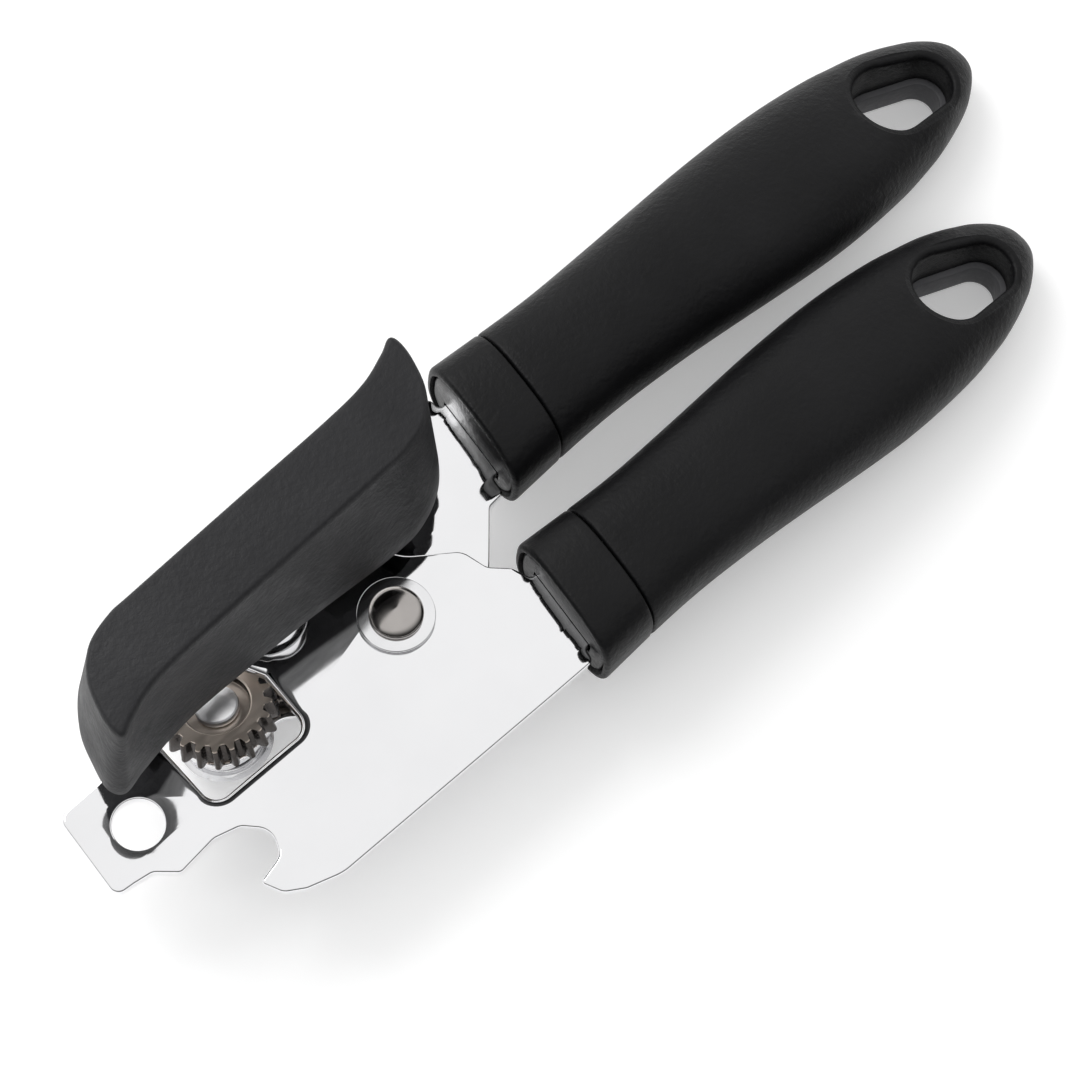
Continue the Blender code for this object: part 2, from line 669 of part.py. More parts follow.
def cutter_pin(steel):
    foot0, foot1 = PIN_FOOT_SPAN
    rows = ((0.0, -foot1), (2.6, -foot1), (3.4, -foot0 - 0.5), (3.4, -foot0), (PIN_R, -foot0),
            (PIN_R, -COUNTERBORE_DEPTH + GAP), (PIN_HEAD_R, -COUNTERBORE_DEPTH + GAP), (PIN_HEAD_R, -0.35),
            (PIN_HEAD_R - 0.35, 0.0), (0.55, 0.12), (0.3, -0.25), (0.0, -0.35))
    finish("cutter_pin", moved(lathe(rows, 32), cutter_frame()), steel, origin=CUTTER_HEAD)


def cutter_bushing(steel):
    a, b = BUSHING_SPAN
    r0 = HUB_R + GAP
    rows = ((r0, -b), (BUSHING_R - 0.4, -b), (BUSHING_R, -b + 0.4), (BUSHING_R, -a), (r0, -a))
    finish("cutter_bushing", moved(lathe(rows, 36), cutter_frame()), steel, origin=CUTTER_HEAD)


def cutting_wheel(steel):
    a, b = WHEEL_SPAN
    r0 = HUB_R + GAP
    rows = ((r0, -b), (WHEEL_BACK_R, -b), (WHEEL_R, -a - 0.75), (WHEEL_R, -a - 0.6),
            (WHEEL_FACE_R, -a), (r0, -a))
    finish("cutting_wheel", moved(lathe(rows, 56), cutter_frame()), steel, origin=CUTTER_HEAD, sharp=20.0)


# ======================================================================================
# handles
# ======================================================================================
def oval(x, y, z, half_w, half_h, power, slant, n):
    out = []
    for k in range(n):
        a = 2.0 * math.pi * k / n
        c, s = math.cos(a), math.sin(a)
        dy = half_w * math.copysign(abs(c) ** (2.0 / power), c)
        dz = half_h * math.copysign(abs(s) ** (2.0 / power), s)
        out.append((x + slant * dy, y + dy, z + dz))
    return out


def handle_section(mouth_x, y, length, s, inset=0.0, n=36):
    t = s / length
    x = mouth_x + s
    power = 2.9 - 0.6 * min(s / 40.0, 1.0)
    slant = MOUTH_SLANT * max(1.0 - s / 60.0, 0.0)
    half_w = curve_at(HALF_WIDTH, t) - inset
    half_h = curve_at(HALF_HEIGHT, t) - inset
    z = max(curve_at(CENTRE_Z, t), curve_at(HALF_HEIGHT, t) - TAIL_SETTLE)
    return oval(x, y, z, half_w, half_h, power, slant, n)


def box_cutter(name, x0, x1, y0, y1, z0, z1):
    solid = Solid()
    low = solid.loop([(x0, y0, z0), (x1, y0, z0), (x1, y1, z0), (x0, y1, z0)])
    high = solid.loop([(x0, y0, z1), (x1, y0, z1), (x1, y1, z1), (x0, y1, z1)])
    solid.bridge(low, high)
    solid.cap([low])
    solid.cap([high])
    return finish(name, solid, CUTTER_MATERIAL)


def hole_loop(tail_x, y, grow, n=16):
    """Egg-shaped outline of the hanging hole."""
    near = (tail_x - HOLE_NEAR[0], HOLE_NEAR[1] + grow)
    far = (tail_x - HOLE_FAR[0], HOLE_FAR[1] + grow)
    span = math.hypot(far[0] - near[0], HOLE_DRIFT)
    swing = math.atan2(HOLE_DRIFT, far[0] - near[0])
    lean = math.asin((near[1] - far[1]) / span)
    out = []
    for k in range(n + 1):
        a = swing - 0.5 * math.pi + lean + (math.pi - 2.0 * lean) * k / n
        out.append((far[0] + far[1] * math.cos(a), y + HOLE_DRIFT + far[1] * math.sin(a)))
    for k in range(n + 1):
        a = swing + 0.5 * math.pi - lean + (math.pi + 2.0 * lean) * k / n
        out.append((near[0] + near[1] * math.cos(a), y + near[1] * math.sin(a)))
    return out


def prism_cutter(name, rows):
    solid = Solid()
    rings = [solid.loop(at_z(loop, z)) for loop, z in rows]
    solid.stack(rings)
    solid.cap([rings[0]])
    solid.cap([rings[-1]])
    return finish(name, solid, CUTTER_MATERIAL)


def grip(name, mouth_x, y, length, tang_z, rubber):
    solid = Solid()
    start = FERRULE_L + GAP
    stations = [start, start + 0.5]
    stations += [start + 0.5 + (length * 0.8 - start - 0.5) * k / 10.0 for k in range(1, 11)]
    stations += [length * t for t in (0.84, 0.875, 0.905, 0.93, 0.95, 0.967, 0.98, 0.99, 0.996, 1.0)]
    insets = [0.35] + [0.0] * (len(stations) - 1)
    rings = [solid.loop(handle_section(mouth_x, y, length, s, d)) for s, d in zip(stations, insets)]
    solid.stack(rings)
    solid.cap([rings[0]])
    solid.cap([rings[-1]])
    obj = finish(name, solid, rubber)
    tail = mouth_x + length
    w = TANG_W / 2.0 + GAP
    reach = mouth_x + TANG_L + GAP
    pocket = box_cutter(name + "_pocket", mouth_x + 5.0, reach, y - w, y + w, tang_z[0] - GAP, tang_z[1] + GAP)
    through = hole_loop(tail, y, HOLE_MOUTH)
    seat = hole_loop(tail, y, LINER_WALL + GAP)
    hole = prism_cutter(name + "_hole", ((seat, -2.0), (seat, LINER_TOP + GAP), (through, LINER_TOP + GAP),
                                         (through, 30.0)))
    cut_away(obj, [pocket, hole])


def hole_liner(name, mouth_x, y, length, core):
    tail = mouth_x + length
    solid = Solid()
    outer = hole_loop(tail, y, LINER_WALL)
    inner = hole_loop(tail, y, LINER_BORE)
    low = liner_foot(length)
    rings = [solid.loop(at_z(outer, low)), solid.loop(at_z(outer, LINER_TOP)),
             solid.loop(at_z(inner, LINER_TOP)), solid.loop(at_z(inner, low))]
    solid.stack(rings)
    solid.bridge(rings[-1], rings[0])
    finish(name, solid, core)


def liner_foot(length):
    t = (length - HOLE_FAR[0]) / length
    return curve_at(CENTRE_Z, t) - curve_at(HALF_HEIGHT, t) + 1.2


def ferrule(name, mouth_x, y, length, tang_z, plastic):
    solid = Solid()
    stations = ((0.0, 0.9), (0.35, 0.35), (1.1, 0.0), (5.5, 0.0), (FERRULE_L - 0.4, 0.0), (FERRULE_L, 0.3))
    rings = [solid.loop(handle_section(mouth_x, y, length, s, d)) for s, d in stations]
    solid.stack(rings)
    solid.cap([rings[0]])
    solid.cap([rings[-1]])
    obj = finish(name, solid, plastic)
    bowl = Solid()
    cut_rings = [bowl.loop(handle_section(mouth_x, y, length, s, 1.3)) for s in (-2.0, POCKET_DEPTH)]
    bowl.stack(cut_rings)
    bowl.cap([cut_rings[0]])
    bowl.cap([cut_rings[-1]])
    bowl_obj = finish(name + "_bowl", bowl, CUTTER_MATERIAL)
    w = TANG_W / 2.0 + GAP
    slot = box_cutter(name + "_slot", mouth_x + 2.0, mouth_x + 16.0, y - w, y + w, tang_z[0] - GAP, tang_z[1] + GAP)
    cut_away(obj, [bowl_obj, slot])


def mouth_plug(name, mouth_x, y, length, tang_z, plastic):
    solid = Solid()
    stations = ((0.25, 2.3), (0.9, 1.6), (POCKET_DEPTH - GAP, 1.6))
    rings = [solid.loop(handle_section(mouth_x, y, length, s, d)) for s, d in stations]
    solid.stack(rings)
    solid.cap([rings[0]])
    solid.cap([rings[-1]])
    obj = finish(name, solid, plastic)
    w = TANG_W / 2.0 + GAP
    slot = box_cutter(name + "_slot", mouth_x - 6.0, mouth_x + 8.0, y - w, y + w, tang_z[0] - GAP, tang_z[1] + GAP)
    cut_away(obj, [slot])


# ======================================================================================
# assembly
# ======================================================================================
for old in list(bpy.data.objects):
    bpy.data.objects.remove(old)

CUTTER_MATERIAL = make_material("cutter_helper", (0.5, 0.5, 0.5), 0.5, 0.0)
POLISHED = make_material("polished_steel", (0.80, 0.80, 0.81), 0.08, 1.0)
CHROME = make_material("bright_steel", (0.86, 0.86, 0.87), 0.14, 1.0)
RIVET_STEEL = make_material("rivet_steel", (0.60, 0.59, 0.58), 0.2, 1.0)
SINTERED = make_material("warm_gear_steel", (0.60, 0.53, 0.47), 0.32, 1.0)
BLADE = make_material("blade_steel", (0.74, 0.74, 0.75), 0.18, 1.0)
KNOB_PLASTIC = make_material("knob_plastic", (0.045, 0.046, 0.05), 0.55, 0.0)
GRIP_RUBBER = make_material("grip_soft_black", (0.018, 0.018, 0.020), 0.5, 0.0)
FERRULE_PLASTIC = make_material("ferrule_black", (0.020, 0.020, 0.022), 0.45, 0.0)
PLUG_PLASTIC = make_material("plug_dark_grey", (0.03, 0.03, 0.032), 0.4, 0.0)
LINER_PLASTIC = make_material("liner_charcoal", (0.055, 0.055, 0.06), 0.45, 0.0)

UPPER_TANG = (BACK_BOTTOM, BACK_TOP)
LOWER_TANG = (FRONT_BOTTOM, FRONT_TOP)

front_plate(POLISHED)
back_plate(POLISHED)
pivot_rivet(RIVET_STEEL)
pivot_washer("pivot_top_washer", FRONT_TOP + GAP, CHROME)
pivot_washer("pivot_back_washer", BACK_BOTTOM - GAP - WASHER_T, CHROME)
turn_knob(KNOB_PLASTIC)
knob_insert(CHROME)
drive_shaft(CHROME)
drive_bush(CHROME)
drive_gear(SINTERED)
drive_spacer(CHROME)
feed_wheel(BLADE)
drive_washer(CHROME)
drive_nut(CHROME)
cutter_gear(SINTERED)
cutter_pin(CHROME)
cutter_bushing(CHROME)
cutting_wheel(BLADE)
for side, mouth, lane, size, levels in (("upper", UPPER_MOUTH_X, UPPER_Y, UPPER_LENGTH, UPPER_TANG),
                                        ("lower", LOWER_MOUTH_X, LOWER_Y, LOWER_LENGTH, LOWER_TANG)):
    grip(side + "_grip", mouth, lane, size, levels, GRIP_RUBBER)
    ferrule(side + "_ferrule", mouth, lane, size, levels, FERRULE_PLASTIC)
    mouth_plug(side + "_mouth_plug", mouth, lane, size, levels, PLUG_PLASTIC)
    hole_liner(side + "_hole_liner", mouth, lane, size, LINER_PLASTIC)
bpy.data.materials.remove(CUTTER_MATERIAL)
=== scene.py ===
import math

import bmesh
import bpy
from mathutils import Matrix, Vector
from mathutils.geometry import tessellate_polygon


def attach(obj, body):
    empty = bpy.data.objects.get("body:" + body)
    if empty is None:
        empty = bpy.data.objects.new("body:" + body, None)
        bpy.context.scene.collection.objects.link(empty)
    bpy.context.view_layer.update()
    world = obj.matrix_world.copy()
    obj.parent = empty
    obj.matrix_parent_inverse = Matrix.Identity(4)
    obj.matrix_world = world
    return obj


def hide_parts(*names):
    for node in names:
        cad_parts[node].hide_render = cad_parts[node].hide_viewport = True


# Looks of a manual can opener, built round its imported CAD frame.
# Lengths are millimetres from the foot of the pivot axis; SHIFT carries them into the frame.
MM = 0.001
GAP = 0.3
SHIFT = Vector((-44.22, 0.6, 0.0))

FRONT_TOP = 20.5
FRONT_BOTTOM = 18.0
BACK_TOP = 17.7
BACK_BOTTOM = 15.5
KNOB_RIM = 28.5
KNOB_TOP = 53.5
DRIVE = Vector((-15.5, 14.4, 0.0))
KNOB_CENTRE = Vector((-14.8, 15.9, 0.0))
CUTTER_HEAD = Vector((-30.5, 9.3, 15.4))
CUTTER_LEAN = math.radians(14.0)
CUTTER_BEARING = math.radians(80.0)
PAD_DEPTH = 4.9

CUTTER_TEETH = 20
DRIVE_TEETH = 16
CUTTER_RADII = (7.86, 8.70, 9.24)      # root, pitch and tip at the gear's outer face
DRIVE_RADII = (6.30, 7.19, 7.80)
CUTTER_FLARE = 0.066                   # growth of the cutter gear from its outer face to its inner one
CUTTER_GEAR_T = 4.6
GEAR_PHASE = math.radians(13.25)       # puts a gap of the cutter gear at a tooth of the drive gear
TOOTH_FILL = 0.42
DRIVE_GEAR_SPAN = (10.5, 14.2)
DRIVE_SKEW = 0.030                     # turn of the drive teeth per millimetre of height
FEED_WHEEL_SPAN = (3.2, 6.0)
FEED_WHEEL_R = 8.3
FEED_NOTCHES = 36
NUT_FLATS = 9.0
NUT_H = 2.1
SHAFT_BORE_R = 3.3
RIVET_BORE_R = 3.3
BUSH_BORE_R = 5.3
TAB_HOLE = (-53.6, 0.85)
TAB_HOLE_R = 4.2
PLATE_EDGE = 0.5
WINDOW_STEP = 0.9                      # from the outer edge of the window's rolled rim to its opening
WINDOW_ROLL = 1.7
WASHER_R = 6.45
WASHER_T = 0.7
DOME_R = 4.5
DOME_H = 2.6
HOLE_LIP = 1.8

UPPER = {"y": 15.8, "mouth": 30.8, "length": 121.2, "tang": (BACK_BOTTOM, BACK_TOP), "body": "upper_arm"}
LOWER = {"y": -17.0, "mouth": 20.8, "length": 113.2, "tang": (FRONT_BOTTOM, FRONT_TOP), "body": "frame"}
FERRULE_L = 10.6
MOUTH_SLANT = 0.12
TANG_W = 15.0
TANG_L = 52.0
POCKET_DEPTH = 4.2
CENTRE_Z = ((0.0, 18.9), (0.12, 18.9), (0.3, 18.0), (0.45, 15.9), (0.6, 12.9), (0.72, 10.8),
            (0.82, 8.9), (0.9, 7.6), (0.96, 6.6), (1.0, 6.0))
TAIL_SETTLE = 0.28
HALF_WIDTH = ((0.0, 12.75), (0.12, 12.05), (0.2, 11.95), (0.3, 12.45), (0.4, 13.2), (0.5, 14.0),
              (0.6, 14.5), (0.68, 14.35), (0.76, 13.65), (0.8, 12.95), (0.86, 11.5), (0.93, 8.6),
              (0.96, 6.5), (0.985, 4.0), (0.995, 2.3), (1.0, 0.8))
HALF_HEIGHT = ((0.0, 9.3), (0.2, 9.1), (0.4, 9.8), (0.6, 10.3), (0.72, 10.1), (0.82, 9.3),
               (0.9, 8.0), (0.96, 5.9), (0.985, 3.6), (1.0, 0.8))
HOLE_NEAR = (21.3, 6.15)
HOLE_FAR = (12.9, 4.4)
HOLE_DRIFT = -1.4
LINER_TOP = 6.2
LINER_WALL = 1.3
LINER_BORE = -0.5
HOLE_MOUTH = 0.6

KNOB_TOP_HALF = ((-19.6, -7.3), (0.0, -6.4), (20.3, -5.4), (26.0, -5.0), (31.3, -3.1), (35.0, 1.0),
                 (36.9, 6.2), (37.3, 10.0), (36.3, 11.4), (33.6, 10.1), (28.0, 8.2))
KNOB_RIM_HALF = ((-19.2, -9.2), (0.0, -9.3), (19.2, -10.1), (26.6, -9.2), (32.7, -5.9), (37.2, -0.2),
                 (39.2, 5.4), (40.0, 9.8), (38.3, 12.1), (34.0, 11.2), (27.6, 10.0))
POCKET_SPAN = (8.6, 29.4)
POCKET_WALL = 2.2
POCKET_ROOF = 48.0
INSERT_R = 4.7
INSERT_Z = (29.0, 48.6)

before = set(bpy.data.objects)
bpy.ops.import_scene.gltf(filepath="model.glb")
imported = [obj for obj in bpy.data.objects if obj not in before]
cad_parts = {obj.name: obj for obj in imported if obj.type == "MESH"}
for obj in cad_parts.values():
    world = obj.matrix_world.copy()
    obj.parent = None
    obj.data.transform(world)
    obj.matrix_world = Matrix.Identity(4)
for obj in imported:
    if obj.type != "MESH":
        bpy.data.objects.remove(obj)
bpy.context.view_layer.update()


# ---------------------------------------------------------------- shapes
class Solid:
    """Vertices and faces of one closed body, joined ring by ring."""

    def __init__(self):
        self.verts = []
        self.faces = []
        self.flat = set()

    def loop(self, points):
        start = len(self.verts)
        self.verts.extend(Vector(p) for p in points)
        return list(range(start, start + len(points)))

    def bridge(self, a, b):
        n = len(a)
        for i in range(n):
            j = (i + 1) % n
            self.faces.append((a[i], a[j], b[j], b[i]))

    def stack(self, loops):
        for a, b in zip(loops, loops[1:]):
            self.bridge(a, b)

    def fan(self, loop, point):
        tip = len(self.verts)
        self.verts.append(Vector(point))
        n = len(loop)
        for i in range(n):
            self.faces.append((loop[i], loop[(i + 1) % n], tip))

    def cap(self, loops, flat=True):
        index = [i for loop in loops for i in loop]
        for tri in tessellate_polygon([[self.verts[i] for i in loop] for loop in loops]):
            if flat:
                self.flat.add(len(self.faces))
            self.faces.append(tuple(index[k] for k in tri))

    def move(self, matrix):
        self.verts = [matrix @ v for v in self.verts]
        return self


def at_z(loop, z):
    return [(p[0], p[1], z) for p in loop]


def circle(r, n, cx=0.0, cy=0.0, phase=0.0):
    step = 2.0 * math.pi / n
    return [(cx + r * math.cos(phase + i * step), cy + r * math.sin(phase + i * step)) for i in range(n)]


def fillet_polygon(corners, arc_steps):
    """Closed counterclockwise loop from (x, y, radius) corners."""
    out = []
    n = len(corners)
    for i in range(n):
        p = Vector(corners[i][:2])
        a = Vector(corners[i - 1][:2]) - p
        b = Vector(corners[(i + 1) % n][:2]) - p
        half = a.angle(b) / 2.0
        if half > math.radians(88.0):
            out.append((p.x, p.y))
            continue
        reach = min(corners[i][2] / math.tan(half), 0.49 * a.length, 0.49 * b.length)
        r = reach * math.tan(half)
        a.normalize()
        b.normalize()
        centre = p + (a + b).normalized() * (r / math.sin(half))
        start = p + a * reach - centre
        sweep = start.angle_signed(p + b * reach - centre)
        for k in range(arc_steps + 1):
            t = -sweep * k / arc_steps
            c, s = math.cos(t), math.sin(t)
            out.append((centre.x + c * start.x - s * start.y, centre.y + s * start.x + c * start.y))
    return out


def offset_loop(loop, d):
    """Move a counterclockwise loop inward by d (outward when d is negative)."""
    out = []
    n = len(loop)
    for i in range(n):
        p = Vector(loop[i])
        a = (p - Vector(loop[i - 1])).normalized()
        b = (Vector(loop[(i + 1) % n]) - p).normalized()
        na = Vector((-a.y, a.x))
        mid = (na + Vector((-b.y, b.x))).normalized()
        reach = d / max(mid.dot(na), 0.5)
        out.append((p.x + mid.x * reach, p.y + mid.y * reach))
    return out


def spline_loop(points, steps):
    """Closed Catmull-Rom curve through the points."""
    out = []
    n = len(points)
    for i in range(n):
        p0, p1, p2, p3 = (Vector(points[(i + k) % n]) for k in (-1, 0, 1, 2))
        for k in range(steps):
            t = k / steps
            q = 0.5 * (2.0 * p1 + (p2 - p0) * t + (2.0 * p0 - 5.0 * p1 + 4.0 * p2 - p3) * t * t
                       + (3.0 * p1 - p0 - 3.0 * p2 + p3) * t ** 3)
            out.append((q.x, q.y))
    return out


def curve_at(table, t):
    """Smooth value of a (t, value) table."""
    if t <= table[0][0]:
        return table[0][1]
    for k in range(len(table) - 1):
        t0, v0 = table[k]
        t1, v1 = table[k + 1]
        if t <= t1:
            before = table[max(k - 1, 0)]
            after = table[min(k + 2, len(table) - 1)]
            m0 = (v1 - before[1]) / max(t1 - before[0], 1e-6)
            m1 = (after[1] - v0) / max(after[0] - t0, 1e-6)
            h = t1 - t0
            u = (t - t0) / h
            return ((2 * u ** 3 - 3 * u * u + 1) * v0 + (u ** 3 - 2 * u * u + u) * h * m0
                    + (3 * u * u - 2 * u ** 3) * v1 + (u ** 3 - u * u) * h * m1)
    return table[-1][1]


def mesh_object(name, solid, sharp):
    bm = bmesh.new()
    for v in solid.verts:
        bm.verts.new((v + SHIFT) * MM)
    bm.verts.ensure_lookup_table()
    for k, f in enumerate(solid.faces):
        face = bm.faces.new([bm.verts[i] for i in f])
        face.smooth = k not in solid.flat
    bmesh.ops.recalc_face_normals(bm, faces=bm.faces[:])
    if bm.calc_volume(signed=True) < 0.0:
        bmesh.ops.reverse_faces(bm, faces=bm.faces[:])
    mesh = bpy.data.meshes.new(name)
    bm.to_mesh(mesh)
    bm.free()
    obj = bpy.data.objects.new(name, mesh)
    bpy.context.scene.collection.objects.link(obj)
    mesh.set_sharp_from_angle(angle=math.radians(sharp))
    return obj


def place(name, solid, material, body, node, sharp=32.0):
    """One finished piece: rides on its body and stands for its CAD node."""
    return settle(mesh_object(name, solid, sharp), material, body, node)


def settle(obj, material, body, node):
    obj.data.materials.clear()
    obj.data.materials.append(material)
    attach(obj, body)
    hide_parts(node)
    return obj


def cut_away(obj, cutters, sharp):
    for cutter in cutters:
        mod = obj.modifiers.new(cutter.name, "BOOLEAN")
        mod.operation = "DIFFERENCE"
        mod.solver = "EXACT"
        mod.object = cutter
    bpy.context.view_layer.update()
    graph = bpy.context.evaluated_depsgraph_get()
    mesh = bpy.data.meshes.new_from_object(obj.evaluated_get(graph))
    obj.modifiers.clear()
    obj.data = mesh
    for cutter in cutters:
        bpy.data.objects.remove(cutter)
    mesh.shade_smooth()
    mesh.set_sharp_from_angle(angle=math.radians(sharp))


def rounded(top, bottom, z0, z1, steps):
    """(inset, z) rows of a wall whose two edges are rounded."""
    rows = []
    for k in range(steps):
        a = 0.5 * math.pi * k / steps
        rows.append((bottom * (1.0 - math.sin(a)), z0 + bottom * (1.0 - math.cos(a))))
    rows += [(0.0, z0 + bottom), (0.0, z1 - top)]
    for k in range(1, steps + 1):
        a = 0.5 * math.pi * k / steps
        rows.append((top * (1.0 - math.cos(a)), z1 - top + top * math.sin(a)))
    return rows


def slab(outline, holes, z0, z1, edge, hole_edges, steps=6):
    """Plate with rounded edges; each hole has (top roll, bottom roll)."""
    solid = Solid()
    stacks = [[solid.loop(at_z(offset_loop(outline, d), z)) for d, z in rounded(edge, edge, z0, z1, steps)]]
    for hole, (top, bottom) in zip(holes, hole_edges):
        rows = rounded(top, bottom, z0, z1, steps)
        stacks.append([solid.loop(at_z(offset_loop(hole, -d), z)) for d, z in rows])
    for stack in stacks:
        solid.stack(stack)
    solid.cap([stack[0] for stack in stacks])
    solid.cap([stack[-1] for stack in stacks])
    return solid


def lathe(profile, n=96):
    """Turn a closed (radius, z) profile about Z; radius 0 rows become poles."""
    solid = Solid()
    rows = []
    for r, z in profile:
        rows.append((0.0, 0.0, z) if r < 1e-6 else solid.loop(at_z(circle(r, n), z)))
    for k in range(len(rows)):
        a, b = rows[k], rows[(k + 1) % len(rows)]
        if isinstance(a, list) and isinstance(b, list):
            solid.bridge(a, b)
        elif isinstance(a, list):
            solid.fan(a, b)
        elif isinstance(b, list):
            solid.fan(b, a)
    return solid


def arc_rows(cr, cz, r, a0, a1, steps):
    """Points of an arc in the (radius, z) plane, angles in degrees."""
    out = []
    for k in range(steps + 1):
        a = math.radians(a0 + (a1 - a0) * k / steps)
        out.append((cr + r * math.cos(a), cz + r * math.sin(a)))
    return out


def soft_ring(r0, r1, z0, z1, e=0.15):
    """Profile of a ring whose outer edges are rounded by e."""
    return ([(r0, z0)] + arc_rows(r1 - e, z0 + e, e, -90, 0, 4) + arc_rows(r1 - e, z1 - e, e, 0, 90, 4)
            + [(r0, z1)])


def on_drive(solid):
    return solid.move(Matrix.Translation(DRIVE))


def cutter_frame():
    hinge = Vector((-math.sin(CUTTER_BEARING), math.cos(CUTTER_BEARING), 0.0))
    return Matrix.Translation(CUTTER_HEAD) @ Matrix.Rotation(CUTTER_LEAN, 4, hinge)


def cutter_axis():
    return cutter_frame().to_3x3() @ Vector((0.0, 0.0, 1.0))


def tooth_loop(teeth, root, pitch, tip, fill, phase=0.0):
    """Gear outline with filleted roots and rounded tips."""
    out = []
    step = 2.0 * math.pi / teeth
    half = 0.5 * fill * step
    tip_half = half - (tip - pitch) * math.tan(math.radians(24.0)) / pitch
    root_half = half + (pitch - root) * math.tan(math.radians(14.0)) / pitch
    soft = 0.16 / pitch
    for k in range(teeth):
        mid = phase + k * step
        side = ((root_half + soft, root + 0.02), (root_half - 0.1 * soft, root + 0.22), (half, pitch),
                (tip_half + 0.35 * soft, tip - 0.16), (tip_half - 0.6 * soft, tip - 0.03),
                (0.4 * tip_half, tip))
        rows = [(-a, r) for a, r in side] + [(a, r) for a, r in reversed(side)]
        out.extend((r * math.cos(mid + a), r * math.sin(mid + a)) for a, r in rows)
    return out


# ---------------------------------------------------------------- materials
def material(name, color, roughness, metallic):
    """A Principled material and its node tree, with object coordinates ready."""
    mat = bpy.data.materials.new(name)
    mat.use_nodes = True
    tree = mat.node_tree
    shader = tree.nodes["Principled BSDF"]
    shader.inputs["Base Color"].default_value = (*color, 1.0)
    shader.inputs["Roughness"].default_value = roughness
    shader.inputs["Metallic"].default_value = metallic
    coords = tree.nodes.new("ShaderNodeTexCoord").outputs["Object"]
    return mat, tree, shader, coords


def noise(tree, coords, scale, detail=3.0, rough=0.55, stretch=(1.0, 1.0, 1.0)):
    mapping = tree.nodes.new("ShaderNodeMapping")
    mapping.inputs["Scale"].default_value = stretch
    tree.links.new(coords, mapping.inputs["Vector"])
    tex = tree.nodes.new("ShaderNodeTexNoise")
    tex.inputs["Scale"].default_value = scale
    tex.inputs["Detail"].default_value = detail
    tex.inputs["Roughness"].default_value = rough
    tree.links.new(mapping.outputs["Vector"], tex.inputs["Vector"])
    return tex.outputs["Fac"]


def spread(tree, value, low, high, low_in=0.3, high_in=0.7):
    """Map a noise value onto a range."""
    node = tree.nodes.new("ShaderNodeMapRange")
    node.inputs["From Min"].default_value = low_in
    node.inputs["From Max"].default_value = high_in
    node.inputs["To Min"].default_value = low
    node.inputs["To Max"].default_value = high
    tree.links.new(value, node.inputs["Value"])
    return node.outputs["Result"]


def ramp(tree, value, stops):
    node = tree.nodes.new("ShaderNodeValToRGB")
    cr = node.color_ramp
    cr.elements[0].position, cr.elements[0].color = stops[0][0], (*stops[0][1], 1.0)
    cr.elements[1].position, cr.elements[1].color = stops[-1][0], (*stops[-1][1], 1.0)
    for position, color in stops[1:-1]:
        cr.elements.new(position).color = (*color, 1.0)
    tree.links.new(value, node.inputs["Fac"])
    return node.outputs["Color"]


def bump(tree, shader, value, strength, distance, before=None):
    node = tree.nodes.new("ShaderNodeBump")
    node.inputs["Strength"].default_value = strength
    node.inputs["Distance"].default_value = distance
    tree.links.new(value, node.inputs["Height"])
    if before is not None:
        tree.links.new(before, node.inputs["Normal"])
    tree.links.new(node.outputs["Normal"], shader.inputs["Normal"])
    return node.outputs["Normal"]


def metal(name, color, dark, roughness, waviness, scratch=0.0, turned=0.0):
    """Polished or satin steel: cloudy tint, uneven polish, long hairlines and a slight wave."""
    mat, tree, shader, coords = material(name, color, roughness[0], 1.0)
    if turned > 0.0:
        round_axis = tree.nodes.new("ShaderNodeTangent")
        round_axis.direction_type = "RADIAL"
        round_axis.axis = "Z"
        shader.inputs["Anisotropic"].default_value = turned
        tree.links.new(round_axis.outputs["Tangent"], shader.inputs["Tangent"])
    clouds = noise(tree, coords, 60.0, 4.0)
    tree.links.new(ramp(tree, clouds, ((0.3, dark), (0.7, color))), shader.inputs["Base Color"])
    hair = noise(tree, coords, 900.0, 2.0, 0.6, (0.02, 1.0, 1.0))
    wear = noise(tree, coords, 220.0, 5.0, 0.65)
    both = tree.nodes.new("ShaderNodeMath")
    both.operation = "MULTIPLY"
    tree.links.new(hair, both.inputs[0])
    tree.links.new(wear, both.inputs[1])
    tree.links.new(spread(tree, both.outputs["Value"], *roughness, 0.12, 0.4), shader.inputs["Roughness"])
    wave = bump(tree, shader, noise(tree, coords, 35.0, 1.0), waviness, 0.001)
    if scratch > 0.0:
        bump(tree, shader, hair, scratch, 0.00002, wave)
    return mat


def moulded(name, color, light, roughness, grain, grain_scale, gloss, sheen=0.0):
    """Moulded plastic or soft grip: faint tint clouds, fine grain and scuffed gloss."""
    mat, tree, shader, coords = material(name, color, roughness[0], 0.0)
    shader.inputs["Specular IOR Level"].default_value = gloss
    if sheen > 0.0:
        shader.inputs["Sheen Weight"].default_value = sheen
        shader.inputs["Sheen Roughness"].default_value = 0.45
    clouds = noise(tree, coords, 45.0, 5.0, 0.6)
    tree.links.new(ramp(tree, clouds, ((0.3, color), (0.72, light))), shader.inputs["Base Color"])
    rub = noise(tree, coords, 130.0, 6.0, 0.7)
    tree.links.new(spread(tree, rub, *roughness), shader.inputs["Roughness"])
    leather = noise(tree, coords, grain_scale * 0.5, 2.0, 0.5)
    coarse = bump(tree, shader, leather, grain, 0.00018)
    bump(tree, shader, noise(tree, coords, grain_scale * 1.6, 2.0, 0.7), grain, 0.00008, coarse)
    return mat


